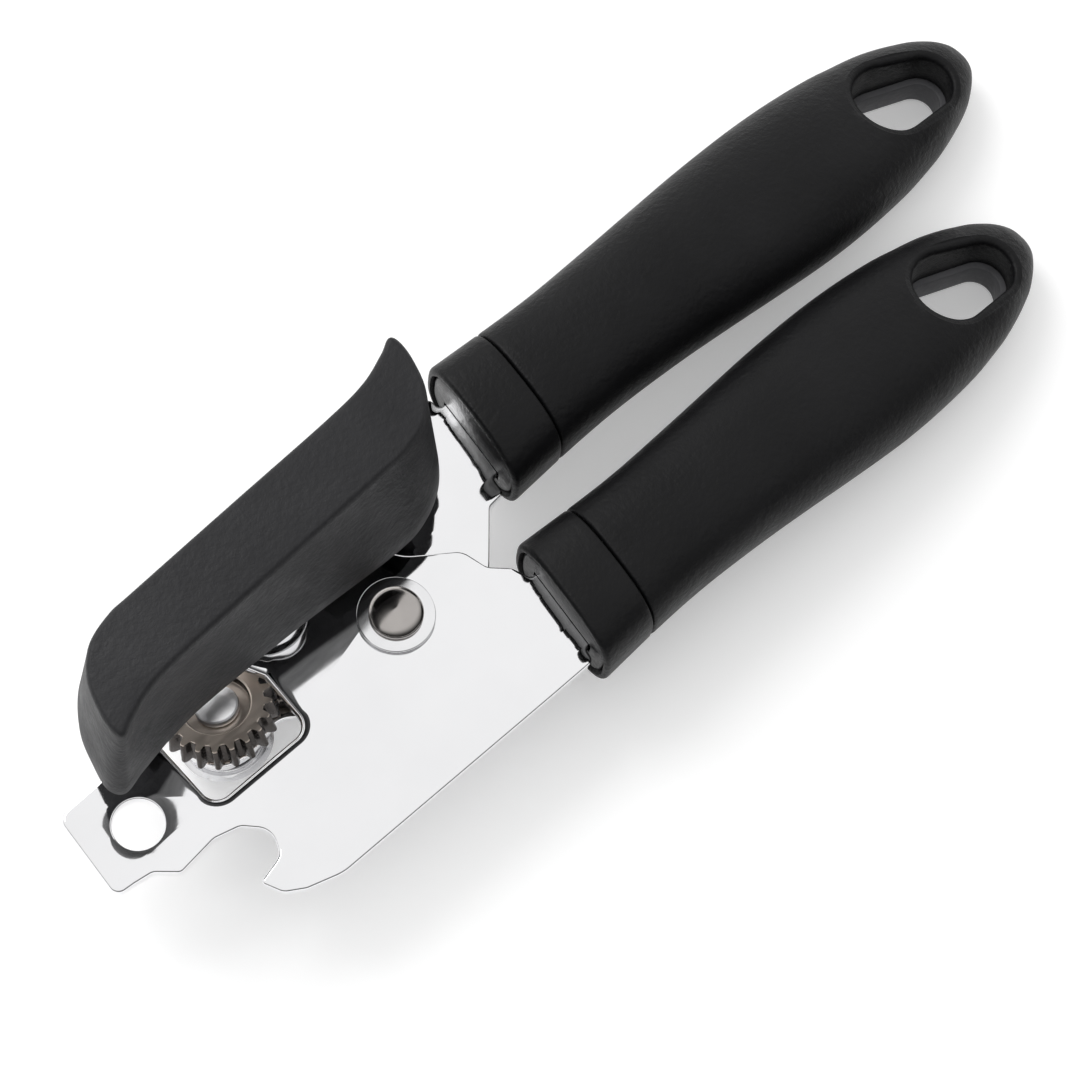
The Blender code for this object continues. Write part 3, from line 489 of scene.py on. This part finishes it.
PLATE = metal("mirror_plate", (0.86, 0.86, 0.87), (0.83, 0.83, 0.84), (0.035, 0.075), 0.012)
BRIGHT = metal("bright_steel_turned", (0.84, 0.84, 0.85), (0.78, 0.78, 0.79), (0.08, 0.2), 0.02, 0.15)
RIVET = metal("rivet_dome", (0.50, 0.475, 0.455), (0.36, 0.34, 0.325), (0.13, 0.22), 0.02, 0.1, 0.7)
PIN = metal("pin_head_satin", (0.93, 0.93, 0.94), (0.88, 0.88, 0.89), (0.32, 0.45), 0.02, 0.1)
GEAR = metal("gear_warm_steel", (0.80, 0.71, 0.63), (0.62, 0.54, 0.47), (0.34, 0.5), 0.05, 0.4)
# painted shade: near-black steel for the gear flanks stands in for their shadow and the dark reflection
# around them
GEAR_FLANK_PAINTED_SHADE = metal("gear_flank_painted_shade", (0.10, 0.09, 0.085), (0.05, 0.045, 0.042), (0.18, 0.34), 0.05, 0.4)
BLADE = metal("blade_satin", (0.78, 0.78, 0.79), (0.70, 0.70, 0.71), (0.1, 0.24), 0.02, 0.3)
KNOB = moulded("knob_charcoal", (0.013, 0.013, 0.0145), (0.023, 0.023, 0.025), (0.42, 0.60), 0.8, 1900.0,
               0.24)
GRIP = moulded("grip_soft_black", (0.0035, 0.0035, 0.0040), (0.0075, 0.0075, 0.0082), (0.36, 0.52),
               0.8, 1900.0, 0.16)
FERRULE = moulded("ferrule_black", (0.0035, 0.0035, 0.0040), (0.0070, 0.0070, 0.0076), (0.34, 0.48),
                  0.7, 1900.0, 0.17)
PLUG = moulded("plug_dark", (0.006, 0.006, 0.0065), (0.011, 0.011, 0.012), (0.25, 0.38), 0.4, 2000.0, 0.3)
LINER = moulded("liner_charcoal", (0.075, 0.075, 0.080), (0.11, 0.11, 0.117), (0.4, 0.55), 0.5, 1900.0, 0.3)


# ---------------------------------------------------------------- plates
def front_outline():
    y, x, tang = LOWER["y"], LOWER["mouth"], TANG_W / 2.0
    return fillet_polygon((
        (-34.6, -26.5, 9.0), (10.0, -26.8, 4.0), (x - 1.8, -26.8, 1.2), (x - 1.4, y - tang, 0.8),
        (x + TANG_L - 4.0, y - tang, 2.0), (x + TANG_L, y - 4.0, 1.5), (x + TANG_L, y + 4.0, 1.5),
        (x + TANG_L - 4.0, y + tang, 2.0), (x + 0.3, y + tang, 0.8), (x - 1.0, -6.2, 1.0),
        (16.9, -3.4, 2.5), (15.7, 1.3, 3.5), (8.2, 6.7, 8.0), (3.6, 13.0, 8.0), (-2.0, 25.5, 7.0),
        (-24.0, 25.5, 9.0), (-46.0, 14.0, 6.0), (-53.2, 10.3, 3.0), (-62.3, 10.1, 2.2),
        (-63.7, -5.8, 2.4), (-60.2, -6.1, 1.5), (-56.9, -6.6, 2.0),
        (-53.6, -9.6, 1.4), (-46.2, -8.8, 3.0), (-41.8, -10.0, 2.6), (-38.4, -13.6, 3.2),
        (-40.2, -17.6, 2.4), (-45.5, -18.9, 0.7), (-43.8, -22.6, 2.6), (-40.6, -24.6, 2.4)), 10)


def front_plate():
    window = fillet_polygon(((-43.4, -5.4, 3.6), (-22.2, -5.4, 3.6), (-21.6, 6.6, 2.0), (-26.6, 16.6, 3.0),
                             (-43.4, 16.6, 5.0)), 12)
    holes = [offset_loop(window, WINDOW_STEP), circle(TAB_HOLE_R, 72, *TAB_HOLE), circle(RIVET_BORE_R, 64),
             circle(BUSH_BORE_R, 64, DRIVE.x, DRIVE.y)]
    edges = [(WINDOW_ROLL, 0.3), (0.3, 0.3), (0.1, 0.1), (0.1, 0.1)]
    solid = slab(front_outline(), holes, FRONT_BOTTOM, FRONT_TOP, PLATE_EDGE, edges)
    place("front_plate_polished", solid, PLATE, "frame", "front_plate")


def back_bend(co):
    """Carry the arm of the back plate down onto the leaning pad."""
    axis = cutter_axis()
    seat = cutter_frame() @ Vector((0.0, 0.0, -PAD_DEPTH))
    t = min(max((-8.6 - co.x) / 9.6, 0.0), 1.0)
    t = t * t * (3.0 - 2.0 * t)
    height = seat.z - (axis.x * (co.x - seat.x) + axis.y * (co.y - seat.y)) / axis.z
    return Vector((co.x, co.y, co.z + (height - BACK_TOP) * t))


def back_plate():
    y, x, tang = UPPER["y"], UPPER["mouth"], TANG_W / 2.0
    outline = fillet_polygon((
        (-31.4, -0.4, 6.0), (-24.0, 1.4, 4.0), (-17.5, -3.5, 5.0), (-8.0, -7.6, 5.0), (0.0, -9.6, 8.0),
        (9.0, -8.6, 8.0), (17.2, -3.9, 3.0), (25.2, 4.8, 1.5), (x - 2.2, 5.1, 1.0),
        (x - 1.7, y - tang, 0.8), (x + TANG_L - 4.0, y - tang, 2.0), (x + TANG_L, y - 4.0, 1.5),
        (x + TANG_L, y + 4.0, 1.5), (x + TANG_L - 4.0, y + tang, 2.0), (x, y + tang, 0.8),
        (x - 0.2, y + tang + 2.6, 1.2), (20.0, 26.6, 8.0), (9.0, 20.0, 8.0), (4.0, 12.0, 8.0),
        (-6.0, 6.2, 5.0), (-17.5, 4.4, 4.0), (-24.2, 9.4, 3.0), (-25.6, 14.6, 5.0), (-34.0, 16.4, 7.0),
        (-39.6, 8.0, 7.0), (-36.6, 0.6, 5.0)), 8)
    seat = cutter_frame() @ Vector((0.0, 0.0, -PAD_DEPTH - 1.1))
    holes = [circle(RIVET_BORE_R, 64), circle(4.15, 64, seat.x, seat.y)]
    solid = slab(outline, holes, BACK_BOTTOM, BACK_TOP, 0.4, [(0.1, 0.1), (0.1, 0.1)], 4)
    obj = mesh_object("back_plate_polished", solid, 32.0)
    bm = bmesh.new()
    bm.from_mesh(obj.data)
    for k in range(41):
        cut = ((-7.6 - 11.6 * k / 40.0) + SHIFT.x) * MM
        geom = bm.verts[:] + bm.edges[:] + bm.faces[:]
        bmesh.ops.bisect_plane(bm, geom=geom, plane_co=(cut, 0.0, 0.0), plane_no=(1.0, 0.0, 0.0), dist=1e-7)
    bmesh.ops.triangulate(bm, faces=bm.faces[:])
    for v in bm.verts:
        v.co = (back_bend(v.co / MM - SHIFT) + SHIFT) * MM
    bm.to_mesh(obj.data)
    bm.free()
    settle(obj, PLATE, "upper_arm", "back_plate")


# ---------------------------------------------------------------- pivot
def pivot():
    top = FRONT_TOP + GAP + WASHER_T + GAP
    foot = BACK_BOTTOM - GAP - WASHER_T - GAP
    rows = ([(0.0, foot - 1.6), (3.0, foot - 1.6)] + arc_rows(3.2, foot - 0.4, 1.2, -90, 0, 6)
            + [(4.4, foot), (3.0, foot), (3.0, top), (4.3, top)])
    rows += arc_rows(4.35, top + 0.15, 0.15, -90, 0, 3)
    for k in range(1, 24):
        a = math.radians(90.0 * k / 24.0)
        rows.append((DOME_R * math.cos(a), top + 0.5 + 1.35 * math.sin(a) + 0.75 * (1.0 - math.cos(a))))
    rows.append((0.0, top + DOME_H))
    place("pivot_rivet_domed", lathe(rows), RIVET, "frame", "pivot_rivet")
    z = FRONT_TOP + GAP
    ring = lathe(soft_ring(RIVET_BORE_R, WASHER_R, z, z + WASHER_T, 0.2))
    place("pivot_top_washer_turned", ring, BRIGHT, "frame", "pivot_top_washer")
    z = BACK_BOTTOM - GAP - WASHER_T
    ring = lathe(soft_ring(RIVET_BORE_R, WASHER_R, z, z + WASHER_T, 0.2))
    place("pivot_back_washer_turned", ring, BRIGHT, "frame", "pivot_back_washer")


# ---------------------------------------------------------------- knob and drive
def knob_loop(half, steps=14):
    pts = list(half) + [(-x, -y) for x, y in half]
    return [(x + KNOB_CENTRE.x, y + KNOB_CENTRE.y) for x, y in spline_loop(pts, steps)]


def knob():
    solid = Solid()
    rim = knob_loop(KNOB_RIM_HALF)
    top = knob_loop(KNOB_TOP_HALF)

    def blend(t):
        return [(a[0] + (b[0] - a[0]) * t, a[1] + (b[1] - a[1]) * t) for a, b in zip(rim, top)]

    rows = [(offset_loop(rim, 0.4), KNOB_RIM), (offset_loop(rim, 0.12), KNOB_RIM + 0.15),
            (rim, KNOB_RIM + 0.5)]
    rows += [(blend(k / 8.0), KNOB_RIM + 0.5 + (KNOB_TOP - 1.8 - KNOB_RIM) * k / 8.0) for k in range(1, 9)]
    for k in range(1, 9):
        a = math.radians(90.0 * k / 8.0)
        rows.append((offset_loop(top, 0.95 * (1.0 - math.cos(a))), KNOB_TOP - 1.3 + 1.3 * math.sin(a)))
    rings = [solid.loop(at_z(loop, z)) for loop, z in rows]
    solid.stack(rings)
    solid.cap([rings[-1]])
    rise = (POCKET_ROOF - KNOB_RIM) / (KNOB_TOP - KNOB_RIM)
    mouth = offset_loop(rim, POCKET_WALL)
    roof = offset_loop(blend(rise), POCKET_WALL)
    inside = [k for k, p in enumerate(rim) if POCKET_SPAN[0] < p[0] - KNOB_CENTRE.x < POCKET_SPAN[1]]
    bore = circle(INSERT_R + GAP, 64, DRIVE.x, DRIVE.y)
    low_bore = solid.loop(at_z(bore, KNOB_RIM))
    high_bore = solid.loop(at_z(bore, INSERT_Z[1] + GAP))
    solid.bridge(low_bore, high_bore)
    solid.cap([high_bore])
    openings = [low_bore]
    for turn in (1.0, -1.0):
        lower = solid.loop([pocket_point(mouth[k], turn, KNOB_RIM) for k in inside])
        upper = solid.loop([pocket_point(roof[k], turn, POCKET_ROOF) for k in inside])
        solid.bridge(lower, upper)
        solid.cap([upper])
        openings.append(lower)
    solid.cap([rings[0]] + openings)
    place("turn_knob_moulded", solid, KNOB, "drive", "turn_knob", 40.0)


def pocket_point(p, turn, z):
    return (KNOB_CENTRE.x + turn * (p[0] - KNOB_CENTRE.x), KNOB_CENTRE.y + turn * (p[1] - KNOB_CENTRE.y), z)


def drive_parts():
    z0, z1 = INSERT_Z
    place("knob_insert_turned", on_drive(lathe(soft_ring(3.3, INSERT_R, z0, z1, 0.3))), BRIGHT, "drive",
          "knob_insert")
    rows = [(0.0, 0.3), (2.1, 0.3), (2.4, 0.6), (2.4, 2.9), (3.0, 2.9), (3.0, z1 - 0.4), (2.7, z1 - 0.1),
            (0.0, z1 - 0.1)]
    place("drive_shaft_turned", on_drive(lathe(rows)), BRIGHT, "drive", "drive_shaft")
    low = FRONT_BOTTOM - GAP
    seat, crown = 22.5, 28.1
    rows = ([(3.3, low - 0.6)] + arc_rows(6.05, low - 0.45, 0.15, -90, 0, 3)
            + [(6.2, low), (5.0, low), (5.0, seat)] + arc_rows(6.5, seat + 0.2, 0.2, -90, 0, 4)
            + [(6.7, crown - 1.45)]
            + arc_rows(6.55, crown - 1.4, 0.15, 0, 90, 3) + [(6.35, crown - 1.2), (6.35, crown - 0.9)]
            + arc_rows(6.55, crown - 0.75, 0.15, -90, 0, 3) + arc_rows(6.4, crown - 0.3, 0.3, 0, 90, 5)
            + [(3.3, crown)])
    place("drive_bush_turned", on_drive(lathe(rows)), BRIGHT, "frame", "drive_bush")
    place("drive_spacer_turned", on_drive(lathe(soft_ring(3.3, 4.6, 6.3, 10.2, 0.15))), BRIGHT, "drive",
          "drive_spacer")
    place("drive_washer_turned", on_drive(lathe(soft_ring(2.7, 5.6, 2.4, 2.9, 0.12))), BRIGHT, "drive",
          "drive_washer")


def paint_flank_shade(gear, axis):
    """Give the walls of a gear, which stand along its axis, a near-black steel: painted shade standing in
    for the shadow on the flanks and their dark reflection of the window's interior.
    """
    gear.data.materials.append(GEAR_FLANK_PAINTED_SHADE)
    for poly in gear.data.polygons:
        if abs(poly.normal.dot(axis)) < 0.5:
            poly.material_index = 1


def drive_gear():
    z0, z1 = DRIVE_GEAR_SPAN
    solid = Solid()
    reach = math.atan2(CUTTER_HEAD.y - DRIVE.y, CUTTER_HEAD.x - DRIVE.x)
    loops = []
    for z, shrink in ((z0, 0.97), (z0 + 0.25, 1.0), (11.5, 1.0), (12.35, 1.0), (13.2, 1.0), (z1 - 0.25, 1.0),
                      (z1, 0.97)):
        turn = reach - DRIVE_SKEW * (z - 0.5 * (z0 + z1))
        teeth = tooth_loop(DRIVE_TEETH, *DRIVE_RADII, TOOTH_FILL, turn)
        loops.append(solid.loop(at_z([(x * shrink, y * shrink) for x, y in teeth], z)))
    solid.stack(loops)
    top = FRONT_BOTTOM - 1.5
    bore_low = solid.loop(at_z(circle(SHAFT_BORE_R, 64), z0))
    bore_high = solid.loop(at_z(circle(SHAFT_BORE_R, 64), top))
    hub = [solid.loop(at_z(circle(r, 64), z)) for r, z in ((4.6, z1), (4.6, top - 0.2), (4.4, top))]
    solid.bridge(bore_low, bore_high)
    solid.stack(hub)
    solid.cap([loops[0], bore_low])
    solid.cap([loops[-1], hub[0]])
    solid.cap([hub[-1], bore_high])
    gear = place("drive_gear_cut", on_drive(solid), GEAR, "drive", "drive_gear")
    paint_flank_shade(gear, Vector((0.0, 0.0, 1.0)))


def feed_wheel():
    z0, z1 = FEED_WHEEL_SPAN
    solid = Solid()
    step = 2.0 * math.pi / FEED_NOTCHES

    def serrated(r):
        out = []
        for k in range(FEED_NOTCHES):
            for share, dip in ((0.0, 0.06), (0.06, 0.0), (0.29, 0.0), (0.35, 0.06), (0.62, 0.6),
                               (0.68, 0.65), (0.74, 0.6)):
                a = (k + share) * step
                out.append(((r - dip) * math.cos(a), (r - dip) * math.sin(a)))
        return out

    rings = [solid.loop(at_z(serrated(FEED_WHEEL_R - inset), z)) for inset, z in (
        (0.5, z0), (0.1, z0 + 0.3), (0.0, z0 + 0.45), (0.0, z1 - 0.45), (0.1, z1 - 0.3), (0.5, z1))]
    solid.stack(rings)
    low = solid.loop(at_z(circle(SHAFT_BORE_R, 64), z0))
    high = solid.loop(at_z(circle(SHAFT_BORE_R, 64), z1))
    solid.bridge(low, high)
    solid.cap([rings[0], low])
    solid.cap([rings[-1], high])
    place("feed_wheel_serrated", on_drive(solid), BLADE, "drive", "feed_wheel")


def drive_nut():
    solid = Solid()
    corner = 0.5 * NUT_FLATS / math.cos(math.pi / 6.0)
    hexagon = [(x, y, 0.25) for x, y in circle(corner, 6)]
    outline = fillet_polygon(hexagon, 4)
    rings = [solid.loop(at_z([(x * s, y * s) for x, y in outline], z)) for s, z in (
        (0.9, 0.0), (1.0, 0.35), (1.0, NUT_H - 0.15), (0.98, NUT_H))]
    solid.stack(rings)
    low = solid.loop(at_z(circle(2.7, 48), 0.0))
    high = solid.loop(at_z(circle(2.7, 48), NUT_H))
    solid.bridge(low, high)
    solid.cap([rings[0], low])
    solid.cap([rings[-1], high])
    place("drive_nut_hex", on_drive(solid), BRIGHT, "drive", "drive_nut", 25.0)


# ---------------------------------------------------------------- cutter
def cutter_gear():
    solid = Solid()
    flare = CUTTER_FLARE
    back = -CUTTER_GEAR_T
    base = tooth_loop(CUTTER_TEETH, *CUTTER_RADII, TOOTH_FILL, GEAR_PHASE)
    count = len(base)

    def scaled(s):
        return [(x * s, y * s) for x, y in base]

    hub = circle(3.4, count, phase=math.atan2(base[0][1], base[0][0]))
    rings = [solid.loop(at_z(hub, -13.4)), solid.loop(at_z(hub, back))]
    rings += [solid.loop(at_z(scaled(s), z)) for s, z in (
        ((1.0 + flare) * 0.985, back), (1.0 + flare, back + 0.2), (1.0 + flare * 0.5, 0.5 * back),
        (1.0 + flare * 0.07, -0.32), (0.993, -0.12), (0.978, 0.0))]
    solid.stack(rings)
    bore = [solid.loop(at_z(circle(r, 96), z)) for r, z in (
        (2.3, -13.4), (2.3, -1.8), (5.3, -1.8), (5.45, -1.65), (5.45, -0.5), (5.62, -0.2), (5.9, 0.0))]
    solid.stack(bore)
    solid.cap([rings[0], bore[0]])
    solid.cap([rings[-1], bore[-1]])
    gear = place("cutter_gear_cut", solid.move(cutter_frame()), GEAR, "cutter", "cutter_gear")
    paint_flank_shade(gear, cutter_axis())


def cutter_stack():
    pin = ([(0.0, -14.8), (2.6, -14.8)] + arc_rows(2.9, -14.3, 0.5, -90, 0, 5) + [(3.4, -13.7), (2.0, -13.7)]
           + [(2.0, -1.5), (3.5, -1.5)] + arc_rows(3.55, -1.35, 0.15, -90, 0, 3) + [(3.7, -0.7)]
           + [(3.7 * math.cos(a), -0.5 + 0.45 * math.sin(a)) for a in map(math.radians, (15.0, 30.0))]
           + [(r, 0.75 - 1.0 * (r / 3.5) ** 2.0) for r in (3.3, 3.0, 2.6, 2.2, 1.8, 1.4, 1.0, 0.6, 0.3)]
           + [(0.0, 0.75)])
    place("cutter_pin_turned", lathe(pin).move(cutter_frame()), PIN, "upper_arm", "cutter_pin")
    bushing = lathe(soft_ring(3.7, 6.0, -11.1, -7.7, 0.25))
    place("cutter_bushing_turned", bushing.move(cutter_frame()), BRIGHT, "upper_arm", "cutter_bushing")
    wheel = [(3.7, -13.0), (6.6, -13.0), (6.8, -12.95), (7.85, -12.18), (7.9, -12.1), (7.88, -12.0),
             (7.2, -11.45), (7.1, -11.4), (6.5, -11.4), (6.35, -11.5), (6.2, -11.4), (3.7, -11.4)]
    place("cutting_wheel_ground", lathe(wheel).move(cutter_frame()), BLADE, "cutter", "cutting_wheel", 20.0)


# ---------------------------------------------------------------- handles
def section_facts(side, s):
    t = s / side["length"]
    z = max(curve_at(CENTRE_Z, t), curve_at(HALF_HEIGHT, t) - TAIL_SETTLE)
    power = 2.9 - 0.6 * min(s / 40.0, 1.0)
    slant = MOUTH_SLANT * max(1.0 - s / 60.0, 0.0)
    return z, curve_at(HALF_WIDTH, t), curve_at(HALF_HEIGHT, t), power, slant


def section(side, s, inset=0.0, n=96):
    z, half_w, half_h, power, slant = section_facts(side, s)
    out = []
    for k in range(n):
        a = 2.0 * math.pi * k / n
        c, q = math.cos(a), math.sin(a)
        dy = (half_w - inset) * math.copysign(abs(c) ** (2.0 / power), c)
        dz = (half_h - inset) * math.copysign(abs(q) ** (2.0 / power), q)
        out.append((side["mouth"] + s + slant * dy, side["y"] + dy, z + dz))
    return out


def top_height(side, x, y):
    """Height of the grip's upper surface above a point of the plan."""
    z, half_w, half_h, power, _ = section_facts(side, min(x - side["mouth"], side["length"]))
    reach = min(abs(y - side["y"]) / half_w, 1.0)
    return z + half_h * (1.0 - reach ** power) ** (1.0 / power)


def helper_box(name, x0, x1, y0, y1, z0, z1):
    solid = Solid()
    corners = ((x0, y0), (x1, y0), (x1, y1), (x0, y1))
    low = solid.loop(at_z(corners, z0))
    high = solid.loop(at_z(corners, z1))
    solid.bridge(low, high)
    solid.cap([low])
    solid.cap([high])
    return mesh_object(name, solid, 30.0)


def hole_loop(side, grow, n=28):
    """Egg-shaped outline of the hanging hole."""
    tail, y = side["mouth"] + side["length"], side["y"]
    near = (tail - HOLE_NEAR[0], HOLE_NEAR[1] + grow)
    far = (tail - HOLE_FAR[0], HOLE_FAR[1] + grow)
    span = math.hypot(far[0] - near[0], HOLE_DRIFT)
    swing = math.atan2(HOLE_DRIFT, far[0] - near[0])
    lean = math.asin((near[1] - far[1]) / span)
    out = []
    for k in range(n + 1):
        a = swing - 0.5 * math.pi + lean + (math.pi - 2.0 * lean) * k / n
        out.append((far[0] + far[1] * math.cos(a), y + HOLE_DRIFT + far[1] * math.sin(a)))
    for k in range(n + 1):
        a = swing + 0.5 * math.pi - lean + (math.pi + 2.0 * lean) * k / n
        out.append((near[0] + near[1] * math.cos(a), y + near[1] * math.sin(a)))
    return out


def hole_cutter(name, side):
    """Hanging hole with a seat for the liner below and a rolled lip at the top."""
    solid = Solid()
    seat = hole_loop(side, LINER_WALL + GAP)
    through = hole_loop(side, HOLE_MOUTH)
    rings = [solid.loop(at_z(seat, -2.0)), solid.loop(at_z(seat, LINER_TOP + GAP)),
             solid.loop(at_z(through, LINER_TOP + GAP)), solid.loop(at_z(through, LINER_TOP + 1.5))]
    for k in range(0, 9):
        a = math.radians(10.0 * k)
        ring = offset_loop(through, -HOLE_LIP * (1.0 - math.cos(a)))
        drop = HOLE_LIP * (1.0 - math.sin(a))
        rings.append(solid.loop([(x, y, top_height(side, x, y) - drop) for x, y in ring]))
    ring = offset_loop(through, -HOLE_LIP * 1.1)
    rings.append(solid.loop([(x, y, top_height(side, x, y) + 0.5) for x, y in ring]))
    rings.append(solid.loop(at_z(ring, 30.0)))
    solid.stack(rings)
    solid.cap([rings[0]])
    solid.cap([rings[-1]])
    return mesh_object(name, solid, 30.0)


def grip(prefix, side):
    solid = Solid()
    length = side["length"]
    start = FERRULE_L + GAP
    stations = [(start, 0.45), (start + 0.1, 0.2), (start + 0.3, 0.05), (start + 0.6, 0.0)]
    tail_from = 0.84
    stations += [(start + 0.6 + (length * tail_from - start - 0.6) * k / 40.0, 0.0) for k in range(1, 41)]
    for k in range(1, 31):
        bend = math.sin(math.radians(90.0 * k / 30.0))
        stations.append((length * (tail_from + (1.0 - tail_from) * bend), 0.0))
    rings = [solid.loop(section(side, s, d)) for s, d in stations]
    solid.stack(rings)
    solid.cap([rings[0]])
    solid.cap([rings[-1]])
    obj = mesh_object(prefix + "_grip_moulded", solid, 40.0)
    w = TANG_W / 2.0 + GAP
    low, high = side["tang"]
    pocket = helper_box(prefix + "_pocket", side["mouth"] + 5.0, side["mouth"] + TANG_L + GAP, side["y"] - w,
                        side["y"] + w, low - GAP, high + GAP)
    cut_away(obj, [pocket, hole_cutter(prefix + "_hole", side)], 40.0)
    settle(obj, GRIP, side["body"], prefix + "_grip")


def ferrule(prefix, side):
    solid = Solid()
    stations = [(0.0, 0.9)] + [(0.9 * (1.0 - math.cos(a)), 0.9 * (1.0 - math.sin(a)))
                               for a in (math.radians(15.0 * k) for k in range(1, 7))]
    stations += [(3.0, 0.0), (6.0, 0.0), (9.0, 0.0), (FERRULE_L - 0.4, 0.0), (FERRULE_L - 0.15, 0.1),
                 (FERRULE_L, 0.35)]
    rings = [solid.loop(section(side, s, d)) for s, d in stations]
    solid.stack(rings)
    solid.cap([rings[0]])
    solid.cap([rings[-1]])
    obj = mesh_object(prefix + "_ferrule_moulded", solid, 40.0)
    bowl = Solid()
    rows = ((-2.0, 1.15), (0.15, 1.15), (0.4, 1.3), (POCKET_DEPTH, 1.3))
    cut_rings = [bowl.loop(section(side, s, d)) for s, d in rows]
    bowl.stack(cut_rings)
    bowl.cap([cut_rings[0]])
    bowl.cap([cut_rings[-1]])
    w = TANG_W / 2.0 + GAP
    low, high = side["tang"]
    slot = helper_box(prefix + "_slot", side["mouth"] + 2.0, side["mouth"] + 16.0, side["y"] - w,
                      side["y"] + w, low - GAP, high + GAP)
    cut_away(obj, [mesh_object(prefix + "_bowl", bowl, 30.0), slot], 40.0)
    settle(obj, FERRULE, side["body"], prefix + "_ferrule")


def mouth_plug(prefix, side):
    solid = Solid()
    rows = ((0.25, 2.3), (0.4, 1.95), (0.65, 1.7), (0.95, 1.6), (POCKET_DEPTH - GAP, 1.6))
    rings = [solid.loop(section(side, s, d)) for s, d in rows]
    solid.stack(rings)
    solid.cap([rings[0]])
    solid.cap([rings[-1]])
    obj = mesh_object(prefix + "_plug_moulded", solid, 30.0)
    w = TANG_W / 2.0 + GAP
    low, high = side["tang"]
    slot = helper_box(prefix + "_plug_slot", side["mouth"] - 6.0, side["mouth"] + 8.0, side["y"] - w,
                      side["y"] + w, low - GAP, high + GAP)
    cut_away(obj, [slot], 30.0)
    settle(obj, PLUG, side["body"], prefix + "_mouth_plug")


def liner(prefix, side):
    t = (side["length"] - HOLE_FAR[0]) / side["length"]
    low = curve_at(CENTRE_Z, t) - curve_at(HALF_HEIGHT, t) + 1.2
    solid = Solid()
    bore = LINER_BORE
    rows = [(LINER_WALL, low), (LINER_WALL, LINER_TOP), (bore + 0.4, LINER_TOP),
            (bore + 0.12, LINER_TOP - 0.12), (bore, LINER_TOP - 0.4), (bore, low)]
    rings = [solid.loop(at_z(hole_loop(side, grow), z)) for grow, z in rows]
    solid.stack(rings)
    solid.bridge(rings[-1], rings[0])
    place(prefix + "_hole_liner_moulded", solid, LINER, side["body"], prefix + "_hole_liner")


# ---------------------------------------------------------------- stage
def studio():
    bm = bmesh.new()
    bmesh.ops.create_grid(bm, x_segments=24, y_segments=24, size=4.0)
    mesh = bpy.data.meshes.new("floor")
    bm.to_mesh(mesh)
    bm.free()
    floor = bpy.data.objects.new("floor", mesh)
    bpy.context.scene.collection.objects.link(floor)
    mat, tree, shader, coords = material("floor_paper", (0.9, 0.9, 0.9), 0.85, 0.0)
    shader.inputs["Specular IOR Level"].default_value = 0.1
    paper = noise(tree, coords, 3.0, 4.0)
    tree.links.new(ramp(tree, paper, ((0.3, (0.89, 0.89, 0.89)), (0.7, (0.91, 0.91, 0.91)))),
                   shader.inputs["Base Color"])
    shader.inputs["Emission Color"].default_value = (1.0, 1.0, 1.0, 1.0)
    shader.inputs["Emission Strength"].default_value = 0.24
    mesh.materials.append(mat)

    world = bpy.data.worlds.new("studio")
    bpy.context.scene.world = world
    world.use_nodes = True
    tree = world.node_tree
    direction = tree.nodes.new("ShaderNodeTexCoord").outputs["Generated"]
    lit = tree.nodes.new("ShaderNodeVectorMath")
    lit.operation = "DOT_PRODUCT"
    lit.inputs[1].default_value = (0.15, 0.40, 0.80)
    tree.links.new(direction, lit.inputs[0])
    sky = ramp(tree, lit.outputs["Value"], ((0.0, (0.06, 0.06, 0.06)), (0.16, (0.30, 0.30, 0.30)),
                                            (0.40, (0.97, 0.97, 0.97)), (1.0, (1.0, 1.0, 1.0))))
    tree.links.new(sky, tree.nodes["Background"].inputs["Color"])
    tree.nodes["Background"].inputs["Strength"].default_value = 1.02

    def softbox(name, place, size, energy):
        data = bpy.data.lights.new(name, "AREA")
        data.shape = "DISK"
        data.size = size
        data.energy = energy
        lamp = bpy.data.objects.new(name, data)
        lamp.location = place
        lamp.rotation_euler = (-Vector(place)).to_track_quat("-Z", "Y").to_euler()
        bpy.context.scene.collection.objects.link(lamp)

    softbox("key_softbox", (-0.15, 0.75, 0.85), 0.7, 4.6)


def camera():
    data = bpy.data.cameras.new("camera")
    data.lens = 108.0
    data.sensor_width = 36.0
    data.clip_start = 0.01
    cam = bpy.data.objects.new("camera", data)
    spot = (Vector((-127.62, -121.65, 515.5)) + SHIFT) * MM
    right = Vector((0.7328581, -0.67679803, 0.06973827))
    up = Vector((0.61539631, 0.70308533, 0.35631223))
    back = Vector((-0.29018337, -0.21820963, 0.93176079))
    cam.matrix_world = Matrix((
        (right.x, up.x, back.x, spot.x), (right.y, up.y, back.y, spot.y), (right.z, up.z, back.z, spot.z),
        (0.0, 0.0, 0.0, 1.0)))
    bpy.context.scene.collection.objects.link(cam)
    bpy.context.scene.camera = cam
    bpy.context.scene.view_settings.view_transform = "Standard"


front_plate()
back_plate()
pivot()
knob()
drive_parts()
drive_gear()
feed_wheel()
drive_nut()
cutter_gear()
cutter_stack()
for prefix, side in (("upper", UPPER), ("lower", LOWER)):
    grip(prefix, side)
    ferrule(prefix, side)
    mouth_plug(prefix, side)
    liner(prefix, side)
studio()
camera()
